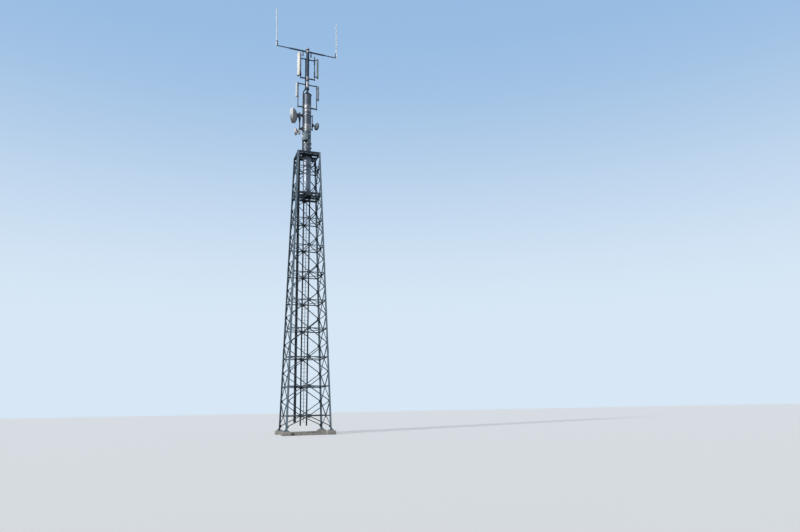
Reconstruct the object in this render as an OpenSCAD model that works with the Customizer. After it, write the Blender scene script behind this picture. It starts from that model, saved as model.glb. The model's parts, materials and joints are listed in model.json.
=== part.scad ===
// Square lattice tower with a tubular antenna mast on its head.
// X runs along the front face to the right, Y runs away from the front, Z is up.
// The origin is on the underside of the foundation, on the tower's axis.

/* [Lattice] */
// Width over the legs on top of the foundation
base_w = 3440; // [3200:10:3600]
// Width over the legs at the head
head_w = 1870; // [1750:10:2000]
// Height of the first horizontal
first_z = 1400; // [1300:10:1600]
// Height of one bay
bay_h = 2200; // [2150:5:2250]
// Head frame above the last horizontal
head_rise = 1300; // [1200:10:1400]
// Flange of the leg angles
leg_w = 140; // [120:5:160]
// Thickness of the leg angles
leg_t = 12; // [8:1:16]
// Flange of the horizontal angles
rail_w = 70; // [60:5:80]
// Thickness of the horizontal angles
rail_t = 7; // [5:1:9]
// Flange of the diagonal angles
brace_w = 60; // [50:5:70]
// Thickness of the diagonal angles
brace_t = 6; // [5:1:8]
// Flange of the plan bracing angles
plan_w = 50; // [40:5:60]
// Thickness of the plan bracing angles
plan_t = 5; // [4:1:7]
// Thickness of the gusset plates
gusset_t = 8; // [6:1:12]

/* [Foundation] */
// Height of the pier heads
pier_h = 300; // [250:10:400]
// Width of the pier heads
pier_w = 640; // [560:10:760]
// Height of the beams between the piers
tie_h = 180; // [120:10:220]
// Width of the beams between the piers
tie_w = 320; // [240:10:400]
// Chamfer on the pier heads
pier_chamfer = 40; // [20:5:60]
// Width of the leg base plates
base_plate_w = 400; // [340:10:440]
// Thickness of the leg base plates
base_plate_t = 25; // [16:1:40]

/* [Frames] */
// Depth of the frame channels
frame_h = 170; // [140:5:180]
// Flange of the frame channels
frame_w = 60; // [50:5:75]
// Thickness of the frame channels
frame_t = 8; // [6:1:10]
// Thickness of the collar plate around the mast
collar_t = 20; // [12:1:30]

/* [Mast] */
// Outside diameter of the lower tube
mast_d = 640; // [560:10:700]
// Wall of the lower tube
mast_wall = 10; // [6:1:16]
// Length of the lower tube
mast_l = 8820; // [8600:10:9000]
// Outside diameter of the upper tube
pole_d = 260; // [220:5:300]
// Wall of the upper tube
pole_wall = 8; // [5:1:12]
// Length of the upper tube
pole_l = 3780; // [3700:10:3900]
// Outside diameter of the neck under the upper tube
neck_d = 180; // [150:5:210]
// Length of the neck
neck_l = 500; // [450:10:560]
// Diameter of the foot flange
foot_flange_d = 880; // [840:10:920]
// Diameter of the cap flange
cap_flange_d = 720; // [710:5:760]
// Thickness of the flanges
flange_t = 25; // [16:1:32]

/* [Crossarm] */
// Length over the crossarm
arm_l = 5140; // [4800:20:5400]
// Diameter of the crossarm's middle tube
arm_d = 140; // [120:5:160]
// Wall of the crossarm's outer tubes
arm_wall = 5; // [3:0.5:8]
// Length of the middle tube
arm_mid_l = 2800; // [2300:20:3000]
// Diameter of the outer tubes
arm_tip_d = 84; // [70:2:100]
// Crossarm's axis below the top of the mast
arm_drop = 175; // [150:5:300]
// Turn of the antenna arms from the front face
arm_yaw = 4.5; // [0:0.5:8]
// Length of the right whip antenna
whip_l = 3300; // [2800:10:3600]
// Length of the left whip antenna
whip_left_l = 3430; // [2800:10:3600]
// Outward lean of the left whip antenna's rod
whip_left_lean = 1; // [0:0.5:3]
// Diameter of a whip antenna at its root
whip_d = 80; // [56:2:86]

/* [Panels] */
// Width of an upper panel
upper_panel_w = 310; // [260:5:340]
// Depth of an upper panel
upper_panel_t = 130; // [100:5:150]
// Height of the upper left panel
upper_panel_h = 2080; // [1900:10:2150]
// Height of the upper right panel
upper_right_h = 1700; // [1600:10:1800]
// Width of a lower panel
lower_panel_w = 240; // [200:5:280]
// Depth of a lower panel
lower_panel_t = 110; // [90:5:130]
// Height of a lower panel
lower_panel_h = 1250; // [1150:10:1300]
// Diameter of the antenna poles
antenna_pole_d = 76; // [60:2:90]
// Wall of the antenna poles
antenna_pole_wall = 4; // [3:0.5:8]
// Reach of the upper arms from the axis
upper_reach = 600; // [540:10:660]
// Reach of the lower arms from the axis
lower_reach = 800; // [740:10:860]
// Upper antenna arms below the top of the mast
upper_arm_drop = 1045; // [1000:5:1090]
// Spacing of the two upper arms
upper_arm_gap = 1740; // [1700:10:1780]
// Lower antenna arms above the foot of the upper tube
lower_arm_rise = 415; // [395:5:450]
// Spacing of the two lower arms
lower_arm_gap = 2060; // [2020:10:2100]
// Diameter of the antenna arms
side_arm_d = 64; // [50:2:76]

/* [Dishes] */
// Diameter of the large dish
large_dish_d = 1220; // [1160:10:1280]
// Diameter of the small dishes
small_dish_d = 600; // [500:10:640]
// Diameter of the left dish pole
left_dish_pole_d = 114; // [100:2:120]
// Reach of the left dish pole from the axis
left_dish_reach = 620; // [600:10:680]
// Reach of the right dish pole from the axis
right_dish_reach = 420; // [410:5:500]
// Upper dish collar below the top of the lower tube
dish_drop = 1830; // [1800:10:1860]
// Spacing of the two dish collars
dish_gap = 1190; // [1150:10:1230]

/* [Ladders] */
// Width between the stiles of the climbing ladder
ladder_w = 500; // [450:10:540]
// Spacing of the rungs
rung_pitch = 300; // [280:5:320]
// Diameter of the rungs
rung_d = 20; // [16:1:30]
// Width of a stile of the climbing ladder
stile_w = 60; // [50:2:70]
// Depth of a stile of the climbing ladder
stile_d = 40; // [30:2:50]
// Width of the cable ladder
tray_w = 200; // [180:5:220]
// Spacing of the cable ladder's crosspieces
tray_pitch = 600; // [500:10:700]
// Diameter of a feeder cable
cable_d = 28; // [22:1:32]
// Number of feeder cables
cable_count = 5; // [3:1:5]

/* [Hidden] */

seat_gap = 0.3;
eps = 1;
$fn = 64;

// Lattice geometry
level_count = 10;
foot_level = 8;
head_z = first_z + bay_h * (level_count - 1) + head_rise;
foot_z = first_z + bay_h * foot_level;
lean = (base_w - head_w) / 2 / (head_z - pier_h);
lean_angle = atan(lean);
plate_y = leg_t + seat_gap;
bar_y = plate_y + gusset_t;
gusset_edge = leg_t + seat_gap + gusset_t + 4;

function level_z(i) = first_z + bay_h * i;
function half_w(z) = base_w / 2 - lean * (z - pier_h);
function face_s(z) = (z - pier_h) / cos(lean_angle);
function is_frame(i) = i == foot_level;
function node_z(i) = is_frame(i) ? foot_z - frame_h / 2 : level_z(i);
function bay_mid_z(i) = (level_z(i) + level_z(i + 1)) / 2;

// Colours
steel = [0.60, 0.62, 0.63];
dark_steel = [0.48, 0.50, 0.52];
concrete = [0.72, 0.70, 0.66];
radome = [0.90, 0.90, 0.88];
black = [0.10, 0.10, 0.11];

// Sets its children on a face of the lattice, 0 front, 1 right, 2 rear, 3 left.
// There, Y runs inwards from the outside of the legs and Z runs up the face.
module on_face(k) {
    rotate([0, 0, 90 * k])
        translate([0, -base_w / 2, pier_h])
            rotate([-lean_angle, 0, 0])
                children();
}

// Outline of an angle section, its back on the X axis
module angle_outline(w, t) {
    polygon([
        [-w / 2, 0], [w / 2, 0], [w / 2, w],
        [w / 2 - t, w], [w / 2 - t, t], [-w / 2, t]
    ]);
}

// Angle bar in the plane of a face from p to q, each [x, s], cut back at its ends
module face_bar(p, q, w, t, cut_p, cut_q) {
    run = q - p;
    length = norm(run);
    turn = atan2(run[0], run[1]);
    translate([p[0], bar_y, p[1]])
        rotate([0, turn, 0])
            translate([0, 0, cut_p])
                linear_extrude(length - cut_p - cut_q)
                    angle_outline(w, t);
}

// Gusset plate in the plane of a face about the point [x, s]
module face_plate(x, s, outline) {
    translate([x, bar_y, s])
        rotate([90, 0, 0])
            linear_extrude(gusset_t)
                polygon(outline);
}

// Set-back of a diagonal's end from the middle of a face, from the middle of a frame, and from a leg
mid_cut = 100;
frame_cut = frame_h / 2 + 92;
leg_cut = 85;
rail_end = 100;
mid_plate_w = 310;
mid_plate_h = 280;
frame_plate_w = 360;
frame_plate_h = frame_h + 260;
leg_plate_w = 190;
leg_plate_h = 300;
end_plate_w = 160;
end_plate_h = 110;

// Eight-cornered plate, w wide and h high
function mid_plate(w, h) = [
    [-w / 2, -h / 8], [-w * 0.3, -h / 2], [w * 0.3, -h / 2], [w / 2, -h / 8],
    [w / 2, h / 8], [w * 0.3, h / 2], [-w * 0.3, h / 2], [-w / 2, h / 8]
];

// Plate that reaches from a leg into the face, its long edge on x = 0
function leg_plate(w, h) = [
    [0, -h / 2], [w * 0.35, -h / 2], [w, -h / 5],
    [w, h / 5], [w * 0.35, h / 2], [0, h / 2]
];

function flip_x(points) = [for (p = points) [-p[0], p[1]]];

// Pair of diagonals from the middle of the face at z_mid to both legs at z_leg
module diagonal_pair(z_mid, z_leg, mid_setback) {
    x_leg = half_w(z_leg) - leg_w / 2;
    for (side = [-1, 1])
        face_bar([0, face_s(z_mid)], [side * x_leg, face_s(z_leg)],
            brace_w, brace_t, mid_setback, leg_cut);
}

module leg_plates(z) {
    x = half_w(z) - gusset_edge;
    face_plate(-x, face_s(z), leg_plate(leg_plate_w, leg_plate_h));
    face_plate(x, face_s(z), flip_x(leg_plate(leg_plate_w, leg_plate_h)));
}

module horizontal(z) {
    reach = half_w(z) - rail_end;
    x = half_w(z) - gusset_edge;
    translate([-reach, bar_y, face_s(z)])
        rotate([0, 90, 0])
            linear_extrude(2 * reach)
                mirror([1, 0, 0]) angle_outline(rail_w, rail_t);
    for (side = [-1, 1])
        translate([side * (x - end_plate_w / 2), bar_y - gusset_t / 2, face_s(z)])
            cube([end_plate_w, gusset_t, end_plate_h], center = true);
}

foot_diagonal_z = pier_h + 330;
head_diagonal_z = head_z - frame_h - 190;

// Bracing of one face: horizontals, rhombic diagonals and their gussets
module bracing(k) {
    color(steel)
        on_face(k)
            union() {
                for (i = [0 : level_count - 1]) {
                    if (!is_frame(i)) horizontal(level_z(i));
                    face_plate(0, face_s(node_z(i)),
                        is_frame(i) ? mid_plate(frame_plate_w, frame_plate_h)
                                    : mid_plate(mid_plate_w, mid_plate_h));
                }
                for (i = [0 : level_count - 2]) {
                    diagonal_pair(node_z(i), bay_mid_z(i), is_frame(i) ? frame_cut : mid_cut);
                    diagonal_pair(node_z(i + 1), bay_mid_z(i),
                        is_frame(i + 1) ? frame_cut : mid_cut);
                    leg_plates(bay_mid_z(i));
                }
                diagonal_pair(node_z(0), foot_diagonal_z, mid_cut);
                leg_plates(foot_diagonal_z);
                diagonal_pair(node_z(level_count - 1), head_diagonal_z, mid_cut);
                leg_plates(head_diagonal_z);
            }
}

splice_l = 560;
splice_t = 8;
splice_levels = [2, 5];
base_plate_in = 60;
rib_h = 180;
rib_t = 10;

// Leg angle along the lattice's corner, heel outside, standing on its base plate
module corner_leg() {
    length = (head_z - pier_h) * sqrt(1 + 2 * lean * lean);
    turn_x = asin(lean / sqrt(1 + 2 * lean * lean));
    heel = -base_w / 2;
    color(steel) {
        intersection() {
            translate([heel, heel, pier_h])
                rotate([-turn_x, 0, 0])
                    rotate([0, lean_angle, 0])
                        union() {
                            translate([0, 0, -base_plate_t])
                                linear_extrude(length + 2 * base_plate_t)
                                    polygon([
                                        [0, 0], [leg_w, 0], [leg_w, leg_t],
                                        [leg_t, leg_t], [leg_t, leg_w], [0, leg_w]
                                    ]);
                            for (i = splice_levels) leg_splice(face_s(level_z(i)) + bay_h / 4);
                        }
            translate([heel - base_w / 4, heel - base_w / 4, pier_h + base_plate_t - eps])
                cube([base_w, base_w, head_z - pier_h - base_plate_t + eps]);
        }
        translate([heel + base_plate_in - base_plate_w / 2,
                   heel + base_plate_in - base_plate_w / 2, pier_h])
            cube([base_plate_w, base_plate_w, base_plate_t]);
        base_rib(heel);
        mirror([1, -1, 0]) base_rib(heel);
    }
}

// Cover plates on the outside of both flanges, over a joint in the leg
module leg_splice(s) {
    translate([10, -splice_t, s - splice_l / 2])
        cube([leg_w - 20, splice_t, splice_l]);
    translate([-splice_t, 10, s - splice_l / 2])
        cube([splice_t, leg_w - 20, splice_l]);
}

// Triangular rib from the outside of the leg to its base plate
module base_rib(heel) {
    reach = base_plate_w / 2 - base_plate_in - 20;
    translate([heel + leg_w / 2 + rib_t / 2, heel + 2, pier_h + base_plate_t - eps])
        rotate([90, 0, -90])
            linear_extrude(rib_t)
                polygon([[-leg_t / 2, 0], [reach, 0], [reach, 20], [-leg_t / 2, rib_h]]);
}

module leg_front_left() { corner_leg(); }
module leg_front_right() { rotate([0, 0, 90]) corner_leg(); }
module leg_rear_right() { rotate([0, 0, 180]) corner_leg(); }
module leg_rear_left() { rotate([0, 0, 270]) corner_leg(); }

module bracing_front() { bracing(0); }
module bracing_right() { bracing(1); }
module bracing_rear() { bracing(2); }
module bracing_left() { bracing(3); }

// Concrete pier head with chamfered top edges
module pier() {
    difference() {
        translate([-pier_w / 2, -pier_w / 2, 0]) cube([pier_w, pier_w, pier_h]);
        for (k = [0 : 3])
            rotate([0, 0, 90 * k])
                translate([-pier_w / 2 - eps, -pier_w / 2, pier_h])
                    rotate([90, 0, 90])
                        linear_extrude(pier_w + 2 * eps)
                            polygon([
                                [-eps, -pier_chamfer - eps], [pier_chamfer + eps, eps], [-eps, eps]
                            ]);
    }
}

// Four pier heads joined by a square of ground beams
module foundation() {
    pier_at = base_w / 2 - base_plate_in;
    color(concrete)
        union() {
            for (k = [0 : 3])
                rotate([0, 0, 90 * k]) {
                    translate([-pier_at, -pier_at, 0]) pier();
                    translate([-pier_at, -pier_at - tie_w / 2, 0])
                        cube([2 * pier_at, tie_w, tie_h]);
                }
        }
}

plan_plate_w = 300;
plan_plate_l = 110;
plan_drop = (rail_w / 2 - rail_t) * cos(lean_angle) - (bar_y + rail_w) * sin(lean_angle) - seat_gap;
plan_inset = bar_y + rail_t + 3;

// Level square that joins the middles of the four horizontals
module plan_square(z) {
    r = half_w(z) - plan_inset - plan_plate_l / 2;
    plate_z = z + plan_drop - gusset_t;
    length = r * sqrt(2) - 2 * plan_w;
    for (k = [0 : 3])
        rotate([0, 0, 90 * k]) {
            translate([-plan_plate_w / 2, -r - plan_plate_l / 2, plate_z])
                cube([plan_plate_w, plan_plate_l, gusset_t]);
            translate([r / 2, -r / 2, plate_z])
                rotate([0, 0, 45])
                    rotate([0, 90, 0])
                        translate([0, 0, -length / 2])
                            linear_extrude(length)
                                rotate([0, 0, 90]) angle_outline(plan_w, plan_t);
        }
}

module plan_bracing_lower() {
    color(steel) for (i = [0 : 4]) plan_square(level_z(i));
}

module plan_bracing_upper() {
    color(steel) for (i = [5, 6, 7, 9]) plan_square(level_z(i));
}

packer_w = 150;
packer_end = 30;

// Square frame of channels inside the legs, its top at height z
module channel_ring(z) {
    outer = half_w(z) - bar_y - seat_gap;
    translate([0, 0, z - frame_h])
        difference() {
            translate([-outer, -outer, 0]) cube([2 * outer, 2 * outer, frame_h]);
            translate([-outer + frame_w, -outer + frame_w, -eps])
                cube([2 * (outer - frame_w), 2 * (outer - frame_w), frame_h + 2 * eps]);
            translate([-outer + frame_t, -outer + frame_t, frame_t])
                cube([2 * (outer - frame_t), 2 * (outer - frame_t), frame_h - 2 * frame_t]);
        }
    for (k = [0 : 3], side = [-1, 1])
        rotate([0, 0, 90 * k])
            translate([side * (outer - packer_end - packer_w / 2), 0, z - frame_h / 2])
                translate([0, -outer - gusset_t / 2 + eps / 2, 0])
                    cube([packer_w, gusset_t + eps, frame_h], center = true);
}

// Pair of channels back to back with the mast between them, along X
module centre_channels(z, spread) {
    outer = half_w(z) - bar_y - seat_gap;
    inner = outer - frame_t;
    for (side = [-1, 1])
        translate([-inner - 2, 0, z - frame_h])
            for (part = [0, 1, 2])
                translate([0, side * spread, 0])
                    if (part == 0)
                        translate([0, side < 0 ? -frame_t : 0, 0])
                            cube([2 * inner + 4, frame_t, frame_h]);
                    else
                        translate([0, side < 0 ? -frame_w : 0,
                                   part == 1 ? 0 : frame_h - frame_t])
                            cube([2 * inner + 4, frame_w, frame_t]);
}

module head_frame() {
    spread = mast_d / 2 + 15;
    outer = half_w(head_z) - bar_y - seat_gap;
    collar_w = 2 * (spread + frame_w);
    color(dark_steel)
        difference() {
            union() {
                channel_ring(head_z);
                centre_channels(head_z, spread);
                rotate([0, 0, 90]) centre_channels(head_z, spread);
                translate([-collar_w / 2, -collar_w / 2, head_z - frame_h])
                    cube([collar_w, collar_w, collar_t]);
            }
            translate([0, 0, head_z - frame_h - eps])
                cylinder(d = mast_d + 2 * seat_gap, h = frame_h + 2 * eps, $fn = 96);
            translate([-spread, -spread, head_z - frame_h + collar_t])
                cube([2 * spread, 2 * spread, frame_h]);
        }
}

module mast_foot_frame() {
    spread = mast_d / 2 - 60;
    color(dark_steel)
        union() {
            channel_ring(foot_z);
            centre_channels(foot_z, spread);
            rotate([0, 0, 90]) centre_channels(foot_z, spread);
        }
}

foot_rib_count = 8;
foot_rib_h = 260;

// Lower tube with its foot flange and ribs
module mast_lower_tube() {
    color(steel)
        difference() {
            union() {
                translate([0, 0, foot_z]) cylinder(d = foot_flange_d, h = flange_t, $fn = 96);
                translate([0, 0, foot_z]) cylinder(d = mast_d, h = mast_l, $fn = 96);
                for (i = [0 : foot_rib_count - 1])
                    rotate([0, 0, 360 / foot_rib_count * (i + 0.5)])
                        translate([mast_d / 2 - mast_wall / 2, rib_t / 2, foot_z + flange_t - eps])
                            rotate([90, 0, 0])
                                linear_extrude(rib_t)
                                    polygon([
                                        [0, 0], [(foot_flange_d - mast_d) / 2 - 10, 0],
                                        [(foot_flange_d - mast_d) / 2 - 10, 20], [0, foot_rib_h]
                                    ]);
            }
            translate([0, 0, foot_z - eps])
                cylinder(d = mast_d - 2 * mast_wall, h = mast_l + 2 * eps, $fn = 96);
        }
}

cap_z = foot_z + mast_l;
pole_z = cap_z + flange_t + neck_l;
top_z = pole_z + pole_l;
cap_rib_h = 270;
neck_flange_d = pole_d + 70;

// Flange on the lower tube, with the ribbed neck that carries the upper tube
module mast_cap() {
    color(dark_steel)
        union() {
            translate([0, 0, cap_z]) cylinder(d = cap_flange_d, h = flange_t, $fn = 96);
            translate([0, 0, cap_z + flange_t - eps]) cylinder(d = neck_d, h = neck_l + eps);
            for (i = [0 : foot_rib_count - 1])
                rotate([0, 0, 360 / foot_rib_count * i])
                    translate([neck_d / 2 - 10, rib_t / 2, cap_z + flange_t - eps])
                        rotate([90, 0, 0])
                            linear_extrude(rib_t)
                                polygon([
                                    [0, 0], [(cap_flange_d - neck_d) / 2 - 20, 0],
                                    [(cap_flange_d - neck_d) / 2 - 20, 25], [0, cap_rib_h]
                                ]);
        }
}

module mast_upper_tube() {
    color(steel)
        difference() {
            union() {
                translate([0, 0, pole_z]) cylinder(d = neck_flange_d, h = flange_t);
                translate([0, 0, pole_z]) cylinder(d = pole_d, h = pole_l);
            }
            translate([0, 0, pole_z + flange_t])
                cylinder(d = pole_d - 2 * pole_wall, h = pole_l);
        }
}

band_h = 90;
band_t = 14;
lug_l = 70;
lug_t = 36;

// Clamp band around a tube of diameter d, with a bolting lug at each of the angles given
module band(d, z, lug_angles) {
    translate([0, 0, z - band_h / 2]) {
        difference() {
            cylinder(d = d + 2 * band_t, h = band_h, $fn = 96);
            translate([0, 0, -eps])
                cylinder(d = d + 2 * seat_gap, h = band_h + 2 * eps, $fn = 96);
        }
        for (angle = lug_angles)
            rotate([0, 0, angle])
                translate([d / 2 + band_t / 2, -lug_t / 2, 0])
                    cube([lug_l - band_t / 2, lug_t, band_h]);
    }
}

band_rise = 600;
band_gap = 390;
mast_band_z = [head_z + band_rise, head_z + band_rise + band_gap];

module mast_bands() {
    color(dark_steel) for (z = mast_band_z) band(mast_d, z, [-20, 240]);
}

box_w = 480;
box_d = 160;
box_h = 730;
box_rise = 1110;
box_z = head_z + box_rise;
box_turn = 238;
box_off = 60;
box_strap_h = 60;

// Equipment housing strapped to the mast
module mast_box() {
    back = mast_d / 2 + seat_gap;
    color(radome)
        rotate([0, 0, box_turn])
            translate([0, 0, box_z])
                difference() {
                    union() {
                        translate([back + box_off, -box_w / 2, 0]) cube([box_d, box_w, box_h]);
                        for (z = [box_strap_h, box_h - 2 * box_strap_h])
                            translate([back - box_w / 8, -box_w / 4, z])
                                cube([box_w / 8 + box_off + eps, box_w / 2, box_strap_h]);
                    }
                    translate([0, 0, -eps])
                        cylinder(d = mast_d + 2 * seat_gap, h = box_h + 2 * eps, $fn = 96);
                }
}

stub_x = 350;
stub_l = 430;
stub_d = 50;
arm_taper_l = 240;
post_d = 50;
post_l = 430;
arm_y = pole_d / 2 + arm_d / 2 + 40;
arm_z = top_z - arm_drop;

// Crossarm behind the upper tube, thicker in the middle, with two hanging stubs and two end posts
module crossarm() {
    color(steel)
        rotate([0, 0, arm_yaw])
            translate([0, arm_y, arm_z]) {
                rotate([0, 90, 0])
                    difference() {
                        union() {
                            cylinder(d = arm_tip_d, h = arm_l, center = true);
                            cylinder(d = arm_d, h = arm_mid_l, center = true);
                            for (side = [-1, 1])
                                translate([0, 0, side * (arm_mid_l / 2 - eps)])
                                    rotate([side < 0 ? 180 : 0, 0, 0])
                                        cylinder(d1 = arm_d, d2 = arm_tip_d, h = arm_taper_l);
                        }
                        cylinder(d = arm_tip_d - 2 * arm_wall, h = arm_l + 2 * eps, center = true);
                    }
                for (side = [-1, 1])
                    translate([side * stub_x, 0, -stub_l - arm_tip_d / 2])
                        cylinder(d = stub_d, h = stub_l);
                for (side = [-1, 1])
                    translate([side * (arm_l / 2 - post_d / 2), 0, arm_tip_d / 2 - post_d / 4])
                        cylinder(d = post_d, h = post_l);
            }
}

// Saddle between the upper tube and the crossarm
module crossarm_clamp() {
    saddle_w = 260;
    saddle_h = 200;
    color(dark_steel)
        rotate([0, 0, arm_yaw])
            difference() {
                translate([-saddle_w / 2, 20, arm_z - saddle_h / 2])
                    cube([saddle_w, arm_y - 20, saddle_h]);
                translate([0, 0, arm_z - saddle_h])
                    cylinder(d = pole_d + 2 * seat_gap, h = 2 * saddle_h);
                translate([0, arm_y, arm_z])
                    rotate([0, 90, 0])
                        cylinder(d = arm_d + 2 * seat_gap, h = 2 * saddle_w, center = true);
            }
}

whip_ferrule_d = 88;
whip_ferrule_l = 500;
whip_under = 60;
whip_off = 4;
whip_root = 20;
whip_clamp_z = [110, 330];
whip_clamp_h = 44;
whip_clamp_w = 104;

// Whip antenna beside the end post of the crossarm, held by two clamps on the post
module whip(turn, length, rod_lean) {
    axis_off = whip_ferrule_d / 2 + whip_off;
    ferrule_top = whip_ferrule_l - whip_under;
    color(radome)
        rotate([0, 0, arm_yaw])
            translate([0, arm_y, arm_z])
                rotate([0, 0, turn])
                    translate([arm_l / 2, 0, 0])
                        difference() {
                            union() {
                                translate([axis_off, 0, -whip_under])
                                    cylinder(d = whip_ferrule_d, h = whip_ferrule_l);
                                translate([axis_off, 0, ferrule_top - whip_root])
                                    rotate([0, rod_lean, 0])
                                        rotate_extrude()
                                            polygon(whip_outline(length - whip_ferrule_l + whip_root));
                                for (z = whip_clamp_z)
                                    translate([-post_d - clamp_t, -whip_clamp_w / 2, z])
                                        cube([axis_off + post_d + clamp_t, whip_clamp_w, whip_clamp_h]);
                            }
                            translate([-post_d / 2, 0, 0])
                                cylinder(d = post_d + 2 * seat_gap, h = post_l + arm_tip_d);
                        }
}

// Outline of a whip's rod, h high, in four tapering steps to its tip
function whip_outline(h) = [
    [0, 0], [whip_d / 2 - 4, 0], [whip_d / 2, 40], [whip_d * 0.46, h * 0.5],
    [whip_d * 0.42, h - 60], [whip_d * 0.3, h - 10], [0, h]
];

module whip_left() { whip(180, whip_left_l, whip_left_lean); }
module whip_right() { whip(0, whip_l, 0); }

clamp_h = 70;
clamp_t = 12;
upper_arm_z = top_z - upper_arm_drop;
upper_arm_low_z = upper_arm_z - upper_arm_gap;
lower_arm_z = pole_z + lower_arm_rise;
lower_arm_low_z = lower_arm_z - lower_arm_gap;

// Band on a tube with an arm to the left and to the right, each ending in a pole clamp
module arm_pair(tube_d, z, reach) {
    stop = reach - antenna_pole_d / 2 - clamp_t / 2;
    start = tube_d / 2 + band_t / 2;
    band(tube_d, z, [-90, 90]);
    for (side = [-1, 1]) {
        translate([side * (start + stop) / 2, 0, z])
            rotate([0, 90, 0]) cylinder(d = side_arm_d, h = stop - start, center = true);
        translate([side * reach, 0, z - clamp_h / 2])
            difference() {
                cylinder(d = antenna_pole_d + 2 * clamp_t, h = clamp_h);
                translate([0, 0, -eps])
                    cylinder(d = antenna_pole_d + 2 * seat_gap, h = clamp_h + 2 * eps);
            }
    }
}

module upper_arms() {
    color(dark_steel)
        rotate([0, 0, arm_yaw]) {
            arm_pair(pole_d, upper_arm_z, upper_reach);
            arm_pair(pole_d, upper_arm_low_z, upper_reach);
        }
}

module lower_arms() {
    color(dark_steel)
        rotate([0, 0, arm_yaw]) {
            arm_pair(pole_d, lower_arm_z, lower_reach);
            arm_pair(mast_d, lower_arm_low_z, lower_reach);
        }
}

pole_under = 90;
upper_pole_over = 400;
lower_pole_over = 90;

// Open tube of diameter d on the Z axis, from z up
module pole_tube(d, z, h) {
    translate([0, 0, z])
        difference() {
            cylinder(d = d, h = h);
            translate([0, 0, -eps])
                cylinder(d = d - 2 * antenna_pole_wall, h = h + 2 * eps);
        }
}

// Antenna pole in its two arm clamps
module antenna_pole(side, reach, z_low, z_high, over) {
    color(steel)
        rotate([0, 0, arm_yaw])
            translate([side * reach, 0, 0])
                pole_tube(antenna_pole_d, z_low - pole_under, z_high - z_low + pole_under + over);
}

// Pole of the upper antennas, its top well above the upper arm
module upper_pole(side) {
    antenna_pole(side, upper_reach, upper_arm_low_z, upper_arm_z, upper_pole_over);
}

module lower_pole(side) {
    antenna_pole(side, lower_reach, lower_arm_low_z, lower_arm_z, lower_pole_over);
}

module upper_pole_left() { upper_pole(-1); }
module upper_pole_right() { upper_pole(1); }
module lower_pole_left() { lower_pole(-1); }
module lower_pole_right() { lower_pole(1); }

upper_left_azimuth = 215;
upper_right_azimuth = -19;
lower_left_azimuth = 175;
lower_right_azimuth = -10;
upper_panel_back = 130;
upper_right_back = 165;
lower_panel_back = 50;
upper_panel_rise = 90;
upper_right_rise = 160;
lower_panel_rise = 795;
bracket_h = 60;
bracket_w = 110;
panel_end = 25;
panel_cap_in = 7;
panel_socket_d = 26;
panel_socket_l = 30;
bracket_low = 60;
bracket_high = 165;
upper_right_high = 76;
lower_bracket_high = 200;

// Panel outline seen from above, its back on the Y axis and its face bowed towards +X
module panel_outline(w, t) {
    bow = w * 0.9;
    intersection() {
        union() {
            translate([0, -w / 2]) square([t * 0.6, w]);
            intersection() {
                translate([t - bow, 0]) circle(r = bow, $fn = 96);
                translate([t * 0.5, -w / 2]) square([t * 0.5, w]);
            }
        }
        translate([0, -w / 2]) square([t, w]);
    }
}

// Panel antenna beside a pole, turned to its azimuth, with its end caps, its sockets and two brackets,
// the upper one high below the panel's top
module panel(side, reach, azimuth, w, t, h, back, z, high) {
    color(radome)
        rotate([0, 0, arm_yaw])
            translate([side * reach, 0, z])
                rotate([0, 0, azimuth - arm_yaw]) {
                    translate([antenna_pole_d / 2 + back, 0, 0]) {
                        translate([0, 0, panel_end])
                            linear_extrude(h - 2 * panel_end) panel_outline(w, t);
                        for (z_end = [0, h - panel_end])
                            translate([panel_cap_in, 0, z_end])
                                linear_extrude(panel_end)
                                    panel_outline(w - 2 * panel_cap_in, t - 2 * panel_cap_in);
                        for (y = [-w / 5, w / 5])
                            translate([t / 2, y, -panel_socket_l])
                                cylinder(d = panel_socket_d, h = panel_socket_l + eps);
                    }
                    for (bracket_z = [bracket_low, h - high]) panel_bracket(bracket_z, back);
                }
}

// Bracket from a clamp around the pole to the back of a panel
module panel_bracket(z, back) {
    translate([0, 0, z])
        difference() {
            union() {
                cylinder(d = antenna_pole_d + 2 * clamp_t, h = bracket_h);
                translate([0, -bracket_w / 2, 0])
                    cube([antenna_pole_d / 2 + back + eps, bracket_w, bracket_h]);
            }
            translate([0, 0, -eps])
                cylinder(d = antenna_pole_d + 2 * seat_gap, h = bracket_h + 2 * eps);
        }
}

module upper_panel_left() {
    panel(-1, upper_reach, upper_left_azimuth, upper_panel_w, upper_panel_t, upper_panel_h,
        upper_panel_back, upper_arm_low_z + upper_panel_rise, bracket_high);
}
module upper_panel_right() {
    panel(1, upper_reach, upper_right_azimuth, upper_panel_w, upper_panel_t, upper_right_h,
        upper_right_back, upper_arm_low_z + upper_right_rise, upper_right_high);
}
module lower_panel_left() {
    panel(-1, lower_reach, lower_left_azimuth, lower_panel_w, lower_panel_t, lower_panel_h,
        lower_panel_back, lower_arm_low_z + lower_panel_rise, lower_bracket_high);
}
module lower_panel_right() {
    panel(1, lower_reach, lower_right_azimuth, lower_panel_w, lower_panel_t, lower_panel_h,
        lower_panel_back, lower_arm_low_z + lower_panel_rise, lower_bracket_high);
}

left_dish_turn = 170;
right_dish_turn = 0;
dish_collar_z = cap_z - dish_drop;
dish_collar_low_z = dish_collar_z - dish_gap;
dish_arm_w = 60;
dish_web_h = 220;

// Band on the mast with an outrigger to each dish pole
module dish_collar(z) {
    band(mast_d, z, [-90, 80]);
    outrigger(z, left_dish_turn, left_dish_reach, left_dish_pole_d);
    outrigger(z, right_dish_turn, right_dish_reach, antenna_pole_d);
}

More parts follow.
